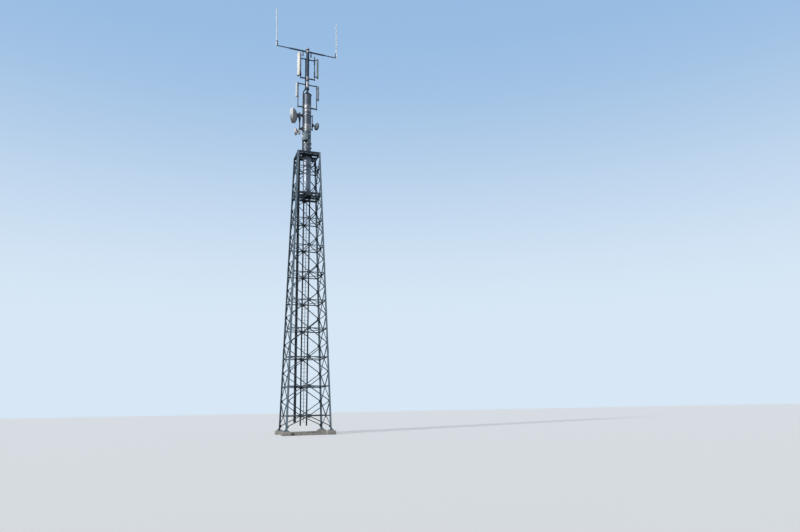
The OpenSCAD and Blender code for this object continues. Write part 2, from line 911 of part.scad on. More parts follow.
// Box arm from a band on the mast to a clamp for a pole of diameter d, with a web where it is long
module outrigger(z, turn, reach, d) {
    start = mast_d / 2 + band_t / 2;
    stop = reach - d / 2 - clamp_t / 2;
    rotate([0, 0, turn])
        translate([0, 0, z]) {
            translate([start, -dish_arm_w / 2, -dish_arm_w / 2])
                cube([stop - start, dish_arm_w, dish_arm_w]);
            if (stop - start > dish_web_h / 2)
                translate([start, gusset_t / 2, 0])
                    rotate([90, 0, 0])
                        linear_extrude(gusset_t)
                            web_outline(stop - start);
            translate([reach, 0, -clamp_h / 2])
                difference() {
                    cylinder(d = d + 2 * clamp_t, h = clamp_h);
                    translate([0, 0, -eps])
                        cylinder(d = d + 2 * seat_gap, h = clamp_h + 2 * eps);
                }
        }
}

// Web of an outrigger, deep at the mast and as high as the pole clamp at its end
module web_outline(length) {
    step = band_t;
    polygon([
        [0, -band_h / 2], [step, -dish_web_h / 2], [length, -clamp_h / 2],
        [length, clamp_h / 2], [step, dish_web_h / 2], [0, band_h / 2]
    ]);
}

module dish_collars() {
    color(dark_steel) {
        dish_collar(dish_collar_z);
        dish_collar(dish_collar_low_z);
    }
}

left_pole_under = 500;
left_pole_over = 250;
right_pole_under = 90;
right_pole_over = 90;

module dish_pole_left() {
    color(steel)
        rotate([0, 0, left_dish_turn])
            translate([left_dish_reach, 0, 0])
                pole_tube(left_dish_pole_d, dish_collar_low_z - left_pole_under,
                    dish_gap + left_pole_under + left_pole_over);
}

module dish_pole_right() {
    color(steel)
        rotate([0, 0, right_dish_turn])
            translate([right_dish_reach, 0, 0])
                pole_tube(antenna_pole_d, dish_collar_low_z - right_pole_under,
                    dish_gap + right_pole_under + right_pole_over);
}

dish_clamp_z = 110;
dish_plate_off = 42;
dish_plate_t = 12;
large_dish_stand = 440;
small_left_stand = 270;
small_right_stand = 370;
large_hub_l = 60;
small_hub_l = 40;
large_dish_azimuth = 158;
small_left_azimuth = 160;
small_right_azimuth = 16;
small_dish_drop = 240;
small_dish_rise = 380;
radio_w = 170;
radio_t = 110;
radio_h = 320;
radio_drop = 260;
radio_off = 16;

// Dish of diameter d on its hub, facing +X from a pole of diameter pole on the Z axis, with its clamp
module dish(d, stand, hub_l, pole) {
    plate_x = pole / 2 + dish_plate_off;
    shroud = d * 0.2;
    bowl = d * 0.16;
    hub_d = d * 0.2 + 20;
    rim = d / 2;
    color(radome) {
        translate([stand, 0, 0])
            rotate([0, 90, 0])
                rotate_extrude($fn = 96)
                    polygon(concat(
                        [[0, -bowl - hub_l], [hub_d / 2, -bowl - hub_l], [hub_d / 2, -bowl]],
                        [for (i = [1 : 8]) [hub_d / 2 + (rim - hub_d / 2) * i / 8,
                            -bowl + bowl * pow(i / 8, 2)]],
                        [[rim + 8, 0], [rim + 8, 20], [rim, 20], [rim, shroud]],
                        [for (i = [7 : -1 : 0]) [rim * i / 8, shroud + d * 0.035 * (1 - pow(i / 8, 2))]]
                    ));
        difference() {
            union() {
                for (z = [-1, 1])
                    translate([0, 0, z * dish_clamp_z - clamp_h / 2])
                        cylinder(d = pole + 2 * clamp_t, h = clamp_h);
                for (z = [-1, 1])
                    translate([0, -pole / 2 - 2, z * dish_clamp_z - clamp_h / 2])
                        cube([plate_x, pole + 4, clamp_h]);
                translate([plate_x - dish_plate_t, -pole / 2 - 12, -dish_clamp_z - clamp_h / 2])
                    cube([dish_plate_t, pole + 24, 2 * dish_clamp_z + clamp_h]);
                translate([plate_x - eps, -hub_d / 3, -hub_d / 3])
                    cube([stand - bowl - hub_l + 5 - plate_x, hub_d / 1.5, hub_d / 1.5]);
            }
            translate([0, 0, -2 * dish_clamp_z])
                cylinder(d = pole + 2 * seat_gap, h = 4 * dish_clamp_z);
        }
    }
}

module dish_large() {
    rotate([0, 0, left_dish_turn])
        translate([left_dish_reach, 0, dish_collar_z])
            rotate([0, 0, large_dish_azimuth - left_dish_turn])
                dish(large_dish_d, large_dish_stand, large_hub_l, left_dish_pole_d);
}

module dish_small_left() {
    rotate([0, 0, left_dish_turn])
        translate([left_dish_reach, 0, dish_collar_low_z - small_dish_drop])
            rotate([0, 0, small_left_azimuth - left_dish_turn]) {
                dish(small_dish_d, small_left_stand, small_hub_l, left_dish_pole_d);
                radio_unit(left_dish_pole_d);
            }
}

// Radio unit beside a pole of diameter pole, on a lip of the dish's lower clamp
module radio_unit(pole) {
    y = pole / 2 + radio_off;
    color(radome) {
        translate([-radio_w / 2, y, -radio_drop]) cube([radio_w, radio_t, radio_h]);
        translate([-radio_w / 4, pole / 2 + 2 * seat_gap, -dish_clamp_z - clamp_h / 2])
            cube([radio_w / 2, radio_off + eps, clamp_h]);
    }
}

module dish_small_right() {
    rotate([0, 0, right_dish_turn])
        translate([right_dish_reach, 0, dish_collar_low_z + small_dish_rise])
            rotate([0, 0, small_right_azimuth - right_dish_turn])
                dish(small_dish_d, small_right_stand, small_hub_l, antenna_pole_d);
}

ladder_x = -245;
ladder_y = -180;
stile_wall = 3;
ladder_low = 300;
ladder_top = face_s(head_z);
bracket_t = 8;

// Climbing ladder up the outside of the rear face, with a bracket at each level
module climbing_ladder() {
    rung_count = floor((ladder_top - ladder_low - 100) / rung_pitch);
    color(steel)
        on_face(2)
            union() {
                for (side = [-1, 1])
                    translate([ladder_x + side * ladder_w / 2, ladder_y, ladder_low])
                        linear_extrude(ladder_top - ladder_low)
                            difference() {
                                square([stile_w, stile_d], center = true);
                                square([stile_w - 2 * stile_wall, stile_d - 2 * stile_wall],
                                    center = true);
                            }
                for (i = [1 : rung_count])
                    translate([ladder_x, ladder_y, ladder_low + i * rung_pitch])
                        rotate([0, 90, 0])
                            cylinder(d = rung_d, h = ladder_w - stile_w + stile_wall,
                                center = true, $fn = 8);
                for (i = [0 : level_count - 1], side = [-1, 1])
                    ladder_bracket(ladder_x + side * ladder_w / 2, face_s(node_z(i)));
            }
}

// Flat bar from the outside of a horizontal, or of the plate on it, to a stile
module ladder_bracket(x, s) {
    on_plate = abs(x) < mid_plate_w / 2;
    stop = on_plate ? plate_y - seat_gap : bar_y - seat_gap;
    translate([x - bracket_t / 2, ladder_y + stile_d / 2 - stile_wall / 2, s - 20])
        cube([bracket_t, stop - ladder_y - stile_d / 2 + stile_wall / 2, 40]);
    translate([x - 30, stop - 6, s - 20]) cube([60, 6, 40]);
}

rail_off = 20;

// Fall arrest rail in front of the rungs
module fall_arrest_rail() {
    y = ladder_y - rung_d / 2 - seat_gap - rail_off;
    color(dark_steel)
        on_face(2)
            translate([ladder_x, y, ladder_low + 400])
                linear_extrude(ladder_top - ladder_low - 500)
                    polygon([
                        [-20, 0], [-20, rail_off], [20, rail_off], [20, 0],
                        [14, 0], [14, rail_off - 6], [-14, rail_off - 6], [-14, 0]
                    ]);
}

tray_x = 465;
tray_y = -85;
tray_low = 500;
tray_stile_w = 30;
tray_stile_t = 5;

// Cable ladder up the outside of the rear face
module cable_ladder() {
    count = floor((ladder_top - tray_low) / tray_pitch);
    color(dark_steel)
        on_face(2)
            union() {
                for (side = [-1, 1]) {
                    x = tray_x + side * tray_w / 2;
                    translate([x - tray_stile_t / 2, tray_y - tray_stile_w / 2, tray_low])
                        cube([tray_stile_t, tray_stile_w, ladder_top - tray_low]);
                    for (i = [0 : level_count - 1]) tray_bracket(x, face_s(node_z(i)));
                }
                for (i = [0 : count - 1])
                    translate([tray_x - tray_w / 2, tray_y - tray_stile_w / 2,
                               tray_low + 100 + i * tray_pitch])
                        cube([tray_w, 4, 30]);
            }
}

module tray_bracket(x, s) {
    stop = bar_y - seat_gap;
    translate([x - bracket_t / 2, tray_y, s - 20]) cube([bracket_t, stop - tray_y, 40]);
}

// Straight route with rounded corners, as a list of points
function bend_points(a, b, c, r, steps) = [
    for (i = [0 : steps])
        let (
            t = i / steps,
            p = b + (a - b) / norm(a - b) * r,
            q = b + (c - b) / norm(c - b) * r
        )
        (1 - t) * (1 - t) * p + 2 * t * (1 - t) * b + t * t * q
];

function route(points, r, steps) = concat(
    [points[0]],
    [for (i = [1 : len(points) - 2])
        each bend_points(points[i - 1], points[i], points[i + 1], r, steps)],
    [points[len(points) - 1]]
);

function unit(v) = v / norm(v);

// Direction of a route at its point i
function heading(path, i) =
    unit(path[min(i + 1, len(path) - 1)] - path[max(i - 1, 0)]);

// Tube of eight sides swept along a route
module swept_tube(path, d) {
    sides = 8;
    rings = len(path);
    points = [
        for (i = [0 : rings - 1])
            let (
                f = heading(path, i),
                u = unit(cross(f, [1, 0.31, 0.17])),
                v = cross(f, u)
            )
            for (k = [0 : sides - 1])
                path[i] + d / 2 * (u * cos(360 * k / sides) + v * sin(360 * k / sides))
    ];
    faces = concat(
        [[for (k = [0 : sides - 1]) k]],
        [for (i = [0 : rings - 2], k = [0 : sides - 1])
            let (next = (k + 1) % sides, up = sides)
            [i * sides + k, i * sides + k + up, i * sides + next + up, i * sides + next]],
        [[for (k = [sides - 1 : -1 : 0]) (rings - 1) * sides + k]]
    );
    polyhedron(points = points, faces = faces);
}

// Place on the rear face, as [x, y, s] there, turned into the tower's frame
function rear_point(x, y, s) =
    let (
        fy = y * cos(lean_angle) + s * sin(lean_angle),
        fz = -y * sin(lean_angle) + s * cos(lean_angle)
    )
    [-x, base_w / 2 - fy, pier_h + fz];

// A corner of the eight-sided cable lies 17 degrees off the line to the crosspieces
cable_seat = cable_d / 2 * cos(17) + seat_gap;
cable_y = tray_y - tray_stile_w / 2 - cable_seat;
cable_turn = 150;
cable_rise = 420;
cable_cap_rise = 330;
cable_pole_rise = 50;
cable_drop = 900;
cable_bend = 150;
cable_pitch = cable_d + 6;
mast_cable_r = cap_flange_d / 2 + cable_d / 2 + 6;
pole_cable_r = neck_flange_d / 2 + cable_d / 2 + 6;

// Feeder cables from the foot of the cable ladder to the head of the mast
module feeder_cables() {
    color(black)
        for (k = [0 : cable_count - 1]) {
            x = tray_x + (k - (cable_count - 1) / 2) * cable_pitch;
            across = (k - (cable_count - 1) / 2) * cable_pitch;
            radial = [cos(cable_turn), sin(cable_turn), 0];
            side = [-sin(cable_turn), cos(cable_turn), 0];
            swept_tube(route([
                rear_point(x, cable_y, tray_low + 50),
                rear_point(x, cable_y, ladder_top + 160),
                radial * mast_cable_r + side * across + [0, 0, head_z + cable_rise],
                radial * mast_cable_r + side * across + [0, 0, cap_z + cable_cap_rise],
                radial * pole_cable_r + side * across + [0, 0, pole_z + cable_pole_rise],
                radial * pole_cable_r + side * across + [0, 0, top_z - cable_drop]
            ], cable_bend, 4), cable_d);
        }
}

foundation();
leg_front_left();
leg_front_right();
leg_rear_right();
leg_rear_left();
bracing_front();
bracing_right();
bracing_rear();
bracing_left();
plan_bracing_lower();
plan_bracing_upper();
head_frame();
mast_foot_frame();
mast_lower_tube();
mast_cap();
mast_upper_tube();
mast_bands();
mast_box();
crossarm();
crossarm_clamp();
whip_left();
whip_right();
upper_arms();
lower_arms();
upper_pole_left();
upper_pole_right();
lower_pole_left();
lower_pole_right();
upper_panel_left();
upper_panel_right();
lower_panel_left();
lower_panel_right();
dish_collars();
dish_pole_left();
dish_pole_right();
dish_large();
dish_small_left();
dish_small_right();
climbing_ladder();
fall_arrest_rail();
cable_ladder();
feeder_cables();
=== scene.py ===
import json
import math

import bmesh
import bpy
from bpy.props import FloatProperty, FloatVectorProperty, IntProperty, PointerProperty
from mathutils import Matrix, Vector


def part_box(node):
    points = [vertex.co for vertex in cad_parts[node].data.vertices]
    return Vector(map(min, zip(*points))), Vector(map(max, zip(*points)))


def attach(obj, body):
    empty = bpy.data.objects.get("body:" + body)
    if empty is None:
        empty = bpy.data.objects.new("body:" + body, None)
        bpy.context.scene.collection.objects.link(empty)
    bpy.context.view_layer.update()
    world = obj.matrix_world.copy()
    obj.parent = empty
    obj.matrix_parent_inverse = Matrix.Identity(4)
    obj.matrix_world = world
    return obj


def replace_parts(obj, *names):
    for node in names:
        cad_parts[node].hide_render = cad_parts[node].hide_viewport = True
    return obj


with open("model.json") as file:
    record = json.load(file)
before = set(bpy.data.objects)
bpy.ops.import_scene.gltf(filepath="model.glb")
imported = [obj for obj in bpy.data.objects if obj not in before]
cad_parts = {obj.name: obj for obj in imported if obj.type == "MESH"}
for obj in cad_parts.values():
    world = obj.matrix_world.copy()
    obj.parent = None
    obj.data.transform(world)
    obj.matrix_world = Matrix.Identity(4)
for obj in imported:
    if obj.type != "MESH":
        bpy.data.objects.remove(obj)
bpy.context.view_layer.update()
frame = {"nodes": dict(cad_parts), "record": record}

bl_info = {
    "name": "Lattice antenna tower",
    "version": (1, 0, 0),
    "blender": (4, 5, 0),
    "location": "View3D > Sidebar > Tower",
    "description": "Finishes, fasteners and antennas of a square lattice tower with a tubular mast",
    "category": "Object",
}

BODY = "root"

# Lattice, in metres, as the frame has it
BASE_W = 3.44
HEAD_W = 1.87
PIER_H = 0.3
FIRST_Z = 1.4
BAY_H = 2.2
LEVELS = 10
FOOT_LEVEL = 8
FOOT_Z = FIRST_Z + BAY_H * FOOT_LEVEL
HEAD_Z = FIRST_Z + BAY_H * (LEVELS - 1) + 1.3
LEAN = (BASE_W - HEAD_W) / 2 / (HEAD_Z - PIER_H)
LEAN_ANGLE = math.atan(LEAN)
LEG_W, LEG_T = 0.14, 0.012
RAIL_T = 0.007
BRACE_T = 0.006
GUSSET_T = 0.008
SEAT = 0.0003
PLATE_Y = LEG_T + SEAT
BAR_Y = PLATE_Y + GUSSET_T
MID_CUT, LEG_CUT = 0.100, 0.085
MID_PLATE_W = 0.31
FRAME_H = 0.17
FRAME_CUT = FRAME_H / 2 + 0.092
FOOT_DIAGONAL_Z = PIER_H + 0.33
HEAD_DIAGONAL_Z = HEAD_Z - FRAME_H - 0.19
BASE_PLATE_IN, BASE_PLATE_T = 0.06, 0.025
SPLICE_LEVELS, SPLICE_T = (2, 5), 0.008

# Mast, its antenna arms and its dish outriggers
MAST_R = 0.32
POLE_R = 0.13
NECK_R = 0.09
FLANGE_T = 0.025
FOOT_BOLT_R, CAP_BOLT_R, NECK_BOLT_R = 0.41, 0.341, 0.149
CAP_Z = FOOT_Z + 8.82
POLE_Z = CAP_Z + FLANGE_T + 0.5
TOP_Z = POLE_Z + 3.78
ARM_YAW = math.radians(4.5)
UPPER_REACH, LOWER_REACH = 0.6, 0.8
UPPER_ARM_Z = TOP_Z - 1.045
UPPER_ARM_LOW_Z = UPPER_ARM_Z - 1.74
LOWER_ARM_Z = POLE_Z + 0.415
LOWER_ARM_LOW_Z = LOWER_ARM_Z - 2.06
TUBE_R = 0.038
ARM_TUBE_R = 0.032
CLAMP_T, CLAMP_H = 0.012, 0.07
BAND_T = 0.014
MAST_BANDS = (HEAD_Z + 0.60, HEAD_Z + 0.99)
DISH_COLLARS = (CAP_Z - 1.83, CAP_Z - 3.02)
LEFT_DISH_TURN, LEFT_DISH_REACH, LEFT_DISH_POLE_R = math.radians(170), 0.62, 0.057
RIGHT_DISH_REACH = 0.42
LOOSE_STRAPS = (LOWER_ARM_LOW_Z - 0.33, CAP_Z - 2.77, CAP_Z - 3.16)
BOX_W, BOX_D, BOX_H, BOX_Z, BOX_TURN = 0.48, 0.16, 0.73, HEAD_Z + 1.11, math.radians(238)

# Crossarm and whips
ARM_Z = TOP_Z - 0.175
ARM_Y = 0.24
ARM_L = 5.14
POST_R, POST_TOP = 0.025, 0.4595
STUB_X = 0.35
FERRULE_R, FERRULE_LOW, FERRULE_TOP = 0.044, -0.06, 0.44
WHIP_GAP = 0.004
WHIP_CLAMPS = (0.132, 0.352)

# Ladders, in the frame of the rear face
LADDER_X, LADDER_Y, LADDER_W, LADDER_LOW = -0.245, -0.18, 0.5, 0.3
TRAY_X, TRAY_Y, TRAY_W, TRAY_LOW, TRAY_PITCH = 0.465, -0.085, 0.2, 0.5, 0.6
RAIL_CLAMP_PITCH = 1.2

# Edges that are bent by more than this stay sharp
SHARP_ANGLE = math.radians(38)

# One turn sets an outline upright, its Y as the height; the other lays the Z axis along X
UPRIGHT = Matrix.Rotation(math.pi / 2, 4, "X")
ALONG_X = Matrix.Rotation(math.pi / 2, 4, "Y")


def turn_z(angle):
    return Matrix.Rotation(angle, 4, "Z")


def shift(x, y, z):
    return Matrix.Translation((x, y, z))


def polar(radius, angle):
    """X and Y of a point on a circle about the Z axis."""
    return radius * math.cos(angle), radius * math.sin(angle)


def face_s(z):
    """Length along a face of the lattice at height z."""
    return (z - PIER_H) / math.cos(LEAN_ANGLE)


def half_w(z):
    """Half the width over the legs at height z."""
    return BASE_W / 2 - LEAN * (z - PIER_H)


def face_matrix(k):
    """Frame of face k: X across it, Y inwards from the outside of the legs, Z up along it."""
    return (turn_z(math.pi / 2 * k) @ shift(0, -BASE_W / 2, PIER_H)
            @ Matrix.Rotation(-LEAN_ANGLE, 4, "X"))


def leg_matrix(k):
    """Frame of leg k, its heel on the Z axis and its flanges along X and Y."""
    slant = math.asin(LEAN / math.sqrt(1 + 2 * LEAN * LEAN))
    return (turn_z(math.pi / 2 * k) @ shift(-BASE_W / 2, -BASE_W / 2, PIER_H)
            @ Matrix.Rotation(-slant, 4, "X") @ Matrix.Rotation(LEAN_ANGLE, 4, "Y"))


def level_z(i):
    """Height of the middle plate at level i, which hangs on the frame's web where a frame is."""
    return FOOT_Z - FRAME_H / 2 if i == FOOT_LEVEL else FIRST_Z + BAY_H * i


def half_bay_z(i):
    """Height halfway between level i and the next, where the diagonals meet the legs."""
    return FIRST_Z + BAY_H * (i + 0.5)


def arm_matrix(x, y, z, angle=0.0):
    """Frame that turns with the antenna arms."""
    return turn_z(ARM_YAW) @ shift(x, y, z) @ turn_z(angle)


class Signal:
    """An output socket. Python's operators on it add Math nodes to its tree."""

    def __init__(self, tree, socket):
        self.tree = tree
        self.socket = socket

    def math(self, operation, first, second=0.0):
        return self.tree.node("ShaderNodeMath", {0: first, 1: second}, operation=operation)

    def __add__(self, other):
        return self.math("ADD", self, other)

    def __radd__(self, other):
        return self.math("ADD", other, self)

    def __sub__(self, other):
        return self.math("SUBTRACT", self, other)

    def __rsub__(self, other):
        return self.math("SUBTRACT", other, self)

    def __mul__(self, other):
        return self.math("MULTIPLY", self, other)

    def __rmul__(self, other):
        return self.math("MULTIPLY", other, self)

    def __truediv__(self, other):
        return self.math("DIVIDE", self, other)

    def __abs__(self):
        return self.math("ABSOLUTE", self)

    def fraction(self):
        return self.math("FRACT", self)

    def smooth(self, low, high):
        """0 below low, 1 above high, with a smooth step between them."""
        return self.tree.node("ShaderNodeMapRange",
                              {"Value": self, "From Min": low, "From Max": high},
                              interpolation_type="SMOOTHSTEP")

    def part(self, axis):
        """One component of a vector or a colour."""
        return self.tree.node("ShaderNodeSeparateXYZ", {"Vector": self}, axis)


class NodeTree:
    """A node tree that is written with one method."""

    def __init__(self, tree):
        self.tree = tree

    def node(self, kind, inputs=None, output=0, **settings):
        """Add a node: its settings first, then the value or the links of each socket."""
        made = self.tree.nodes.new(kind)
        for key, value in settings.items():
            setattr(made, key, value)
        for key, value in (inputs or {}).items():
            for one in value if isinstance(value, list) else [value]:
                if isinstance(one, Signal):
                    self.tree.links.new(one.socket, made.inputs[key])
                else:
                    made.inputs[key].default_value = one
        return Signal(self, made.outputs[output])

    def mix(self, mask, first, second):
        """The first colour where the mask is 0, the second where it is 1."""
        return self.node("ShaderNodeMix", {0: mask, 6: first, 7: second}, 2, data_type="RGBA")

    def vector(self, x, y, z):
        return self.node("ShaderNodeCombineXYZ", {"X": x, "Y": y, "Z": z})


# The finishes by name. Those of the solids have the names of their slots in the record
FINISH = {}


class Shader(NodeTree):
    """The node tree of one finish, on the piece's own object coordinates, in metres."""

    def __init__(self, name):
        FINISH[name] = bpy.data.materials.new(name)
        FINISH[name].use_nodes = True
        super().__init__(FINISH[name].node_tree)
        self.tree.nodes.clear()
        self.place = self.node("ShaderNodeTexCoord", output="Object")

    def noise(self, scale, detail, roughness=0.55, place=None):
        return self.node("ShaderNodeTexNoise", {"Vector": place or self.place, "Scale": scale,
                                                "Detail": detail, "Roughness": roughness})

    def drawn_noise(self, detail, roughness, across, along):
        """Noise drawn out into streaks along Z: how many to the metre, across them and along."""
        place = self.node("ShaderNodeVectorMath", {0: self.place, 1: (across, across, along)},
                          operation="MULTIPLY")
        return self.noise(1, detail, roughness, place)

    def cells(self, scale):
        """Cells of one random value each."""
        return self.node("ShaderNodeTexVoronoi", {"Vector": self.place, "Scale": scale},
                         "Color").part("X")

    def facing_up(self):
        return self.node("ShaderNodeNewGeometry", output="Normal").part("Z")

    def bump(self, height, strength, distance):
        return self.node("ShaderNodeBump", {"Height": height, "Strength": strength,
                                            "Distance": distance})

    def finish(self, **sockets):
        shader = self.node("ShaderNodeBsdfPrincipled",
                           {key.replace("_", " "): value for key, value in sockets.items()})
        out = self.tree.nodes.new("ShaderNodeOutputMaterial")
        self.tree.links.new(shader.socket, out.inputs["Surface"])


def tint(colour, factor=1.0, warm=0.0):
    """A colour made lighter or darker, and warmer or cooler."""
    r, g, b = colour
    return (min(1, r * factor * (1 + warm)), min(1, g * factor), min(1, b * factor * (1 - warm)), 1)


RUST = (0.19, 0.085, 0.035)
SOIL = (0.10, 0.088, 0.07)
ALGAE = (0.13, 0.135, 0.10)
BARE_METAL = (0.62, 0.62, 0.60)


def weathered_zinc(name, colour, rust, soil, joints=False, metal=0.15, rough=0.46,
                   painted_highlight_below=None):
    """Dull hot-dip galvanising: spangle, chalky patina, run-down streaks and a little rust.

    With joints, the rust gathers at every half bay, where the plates are. Below the given
    height, where one is given, the zinc is painted lighter and made more metallic: a painted highlight.
    """
    s = Shader(name)
    cloud = s.noise(0.9, 3)
    patina = s.noise(11, 7, 0.65)
    fine = s.noise(120, 3, 0.6)
    spangle = s.cells(75)
    streaks = s.drawn_noise(4, 0.6, 34, 1.6)
    tone = cloud * 0.45 + patina * 0.4 + spangle * 0.15
    blend = tone.smooth(0.36, 0.64)
    zinc = s.mix(blend, tint(colour, 0.74, -0.05), tint(colour, 1.22, 0.02))
    chalk = streaks.smooth(0.55, 0.75) * patina.smooth(0.42, 0.62)
    zinc = s.mix(chalk * 0.45, zinc, tint(colour, 1.65))
    grime = (1 - streaks).smooth(0.5, 0.72) * cloud.smooth(0.4, 0.65) * soil
    # Painted highlight: below that height the zinc is painted lighter and turns more metallic.
    if painted_highlight_below is not None:
        low = 1 - s.place.part("Z").smooth(painted_highlight_below - 0.4, painted_highlight_below + 0.4)
        painted_highlight_zinc = s.mix(blend, tint(colour, 1.5), tint(colour, 2.6))
        zinc = s.mix(low * 0.85 * (1 - grime * 0.5), zinc, painted_highlight_zinc)
        metal = metal + low * (0.97 - metal)
    zinc = s.mix(grime, zinc, tint(SOIL))
    blots = s.noise(7, 8, 0.7).smooth(0.60 - 0.06 * rust, 0.70)
    near = s.noise(3, 2).smooth(0.42, 0.62)
    if joints:
        bay = ((s.place.part("Z") - FIRST_Z) / (BAY_H / 2)).fraction()
        near = abs(bay - 0.5).smooth(0.30, 0.5) * 0.8 + near * 0.25
    rusty = blots * near * rust
    zinc = s.mix(rusty, zinc, s.mix(fine, tint(RUST, 0.6), tint(RUST, 1.5)))
    top = s.facing_up().smooth(0.6, 0.95) * patina.smooth(0.35, 0.6)
    s.finish(Base_Color=s.mix(top * 0.35, zinc, tint(SOIL, 1.5)),
             Metallic=metal * (1 - rusty) * (1 - grime * 0.6) * (1 - chalk * 0.5),
             Roughness=rough + patina * 0.2 + rusty * 0.25 - spangle * 0.05,
             Specular_IOR_Level=0.28,
             Normal=s.bump(patina * 0.5 + fine * 0.2 + spangle * 0.2 + rusty * 0.6, 0.35, 0.002))


def bolt_zinc(name, colour):
    """Galvanised bolts: greyer, with rust that creeps out of the threads."""
    s = Shader(name)
    patina = s.noise(60, 5, 0.6)
    drift = s.noise(2.3, 2)
    rusty = s.noise(35, 6, 0.7).smooth(0.55, 0.68) * drift.smooth(0.45, 0.6)
    zinc = s.mix(patina, tint(colour, 0.7), tint(colour, 1.25))
    s.finish(Base_Color=s.mix(rusty * 0.8, zinc, tint(RUST, 1.1)),
             Metallic=0.7 * (1 - rusty),
             Roughness=0.4 + patina * 0.2 + rusty * 0.3,
             Normal=s.bump(patina + rusty, 0.3, 0.0006))


def cast_concrete(name, colour):
    """Concrete cast in board shutters, damp and dirty at its foot, stained under the plates."""
    s = Shader(name)
    cloud = s.noise(2.2, 5, 0.6)
    sand = s.noise(90, 6, 0.7)
    pits = s.noise(28, 2).smooth(0.66, 0.72)
    height = s.place.part("Z")
    boards = abs((height / 0.15).fraction() - 0.5).smooth(0.45, 0.5)
    damp = (1 - height.smooth(0.0, 0.22)) * s.noise(5, 4).smooth(0.35, 0.65)
    stains = s.drawn_noise(3, 0.6, 14, 1.5).smooth(0.55, 0.72)
    base = s.mix(cloud.smooth(0.35, 0.65), tint(colour, 0.86), tint(colour, 1.1))
    base = s.mix(sand.smooth(0.4, 0.7) * 0.3, base, tint(colour, 0.7))
    base = s.mix(stains * 0.3, base, tint(SOIL, 1.8))
    base = s.mix(damp * 0.65, base, tint(ALGAE))
    base = s.mix(pits, base, tint(colour, 0.45))
    s.finish(Base_Color=base, Roughness=0.86 + sand * 0.1,
             Normal=s.bump(sand * 0.4 - pits * 1.5 + cloud * 0.4 - boards * 0.8, 0.6, 0.003))


def moulded_shell(name, colour, wear_and_shade, gloss=0.45):
    """Moulded plastic or painted sheet: chalked, yellowed, run with dirt, and painted shade facing
    down.
    """
    s = Shader(name)
    cloud = s.noise(1.4, 4)
    peel = s.noise(160, 2)
    runs = s.drawn_noise(5, 0.6, 30, 1.1)
    specks = s.noise(70, 3).smooth(0.68, 0.74)
    base = s.mix(cloud.smooth(0.35, 0.65), tint(colour, 1.04), tint(colour, 0.93, 0.035))
    base = s.mix(runs.smooth(0.54, 0.74) * wear_and_shade * 0.55, base, tint(colour, 0.62, 0.05))
    base = s.mix(specks * wear_and_shade * 0.6, base, tint(SOIL, 2.2))
    # Painted shade: the faces turned down are painted darker, scaled by the wear.
    under = (1 - s.facing_up()).smooth(1.1, 1.8)
    base = s.mix(under * wear_and_shade, base, tint(colour, 0.35, 0.08))
    s.finish(Base_Color=base, Roughness=gloss + cloud * 0.16 + specks * 0.2,
             Normal=s.bump(peel * 0.5 + cloud * 0.5, 0.18, 0.0012))


def black_sheath(name, colour):
    """Black sheath of cables and caps, dusty on its weather side."""
    s = Shader(name)
    dust = s.noise(9, 5, 0.6)
    scuffs = s.drawn_noise(3, 0.6, 120, 4).smooth(0.6, 0.7)
    base = s.mix(dust.smooth(0.4, 0.75) * 0.45, tint(colour), tint(SOIL, 1.5))
    base = s.mix(scuffs * 0.3, base, tint((0.2, 0.2, 0.2)))
    s.finish(Base_Color=base, Roughness=0.42 + dust * 0.25,
             Normal=s.bump(dust + scuffs, 0.2, 0.001))


def bright_metal(name, colour, metal=0.9, rough=0.28):
    """Turned or pressed metal of connectors, straps and hinges, lightly tarnished."""
    s = Shader(name)
    tarnish = s.noise(40, 6, 0.65)
    brushed = s.drawn_noise(3, 0.6, 20, 700)
    base = s.mix(tarnish.smooth(0.4, 0.7), tint(colour), tint(colour, 0.6, 0.06))
    s.finish(Base_Color=base, Metallic=metal, Roughness=rough + tarnish * 0.25,
             Normal=s.bump(brushed + tarnish * 0.5, 0.15, 0.0004))


def scaled(colour, factor):
    return tuple(factor * value for value in colour)


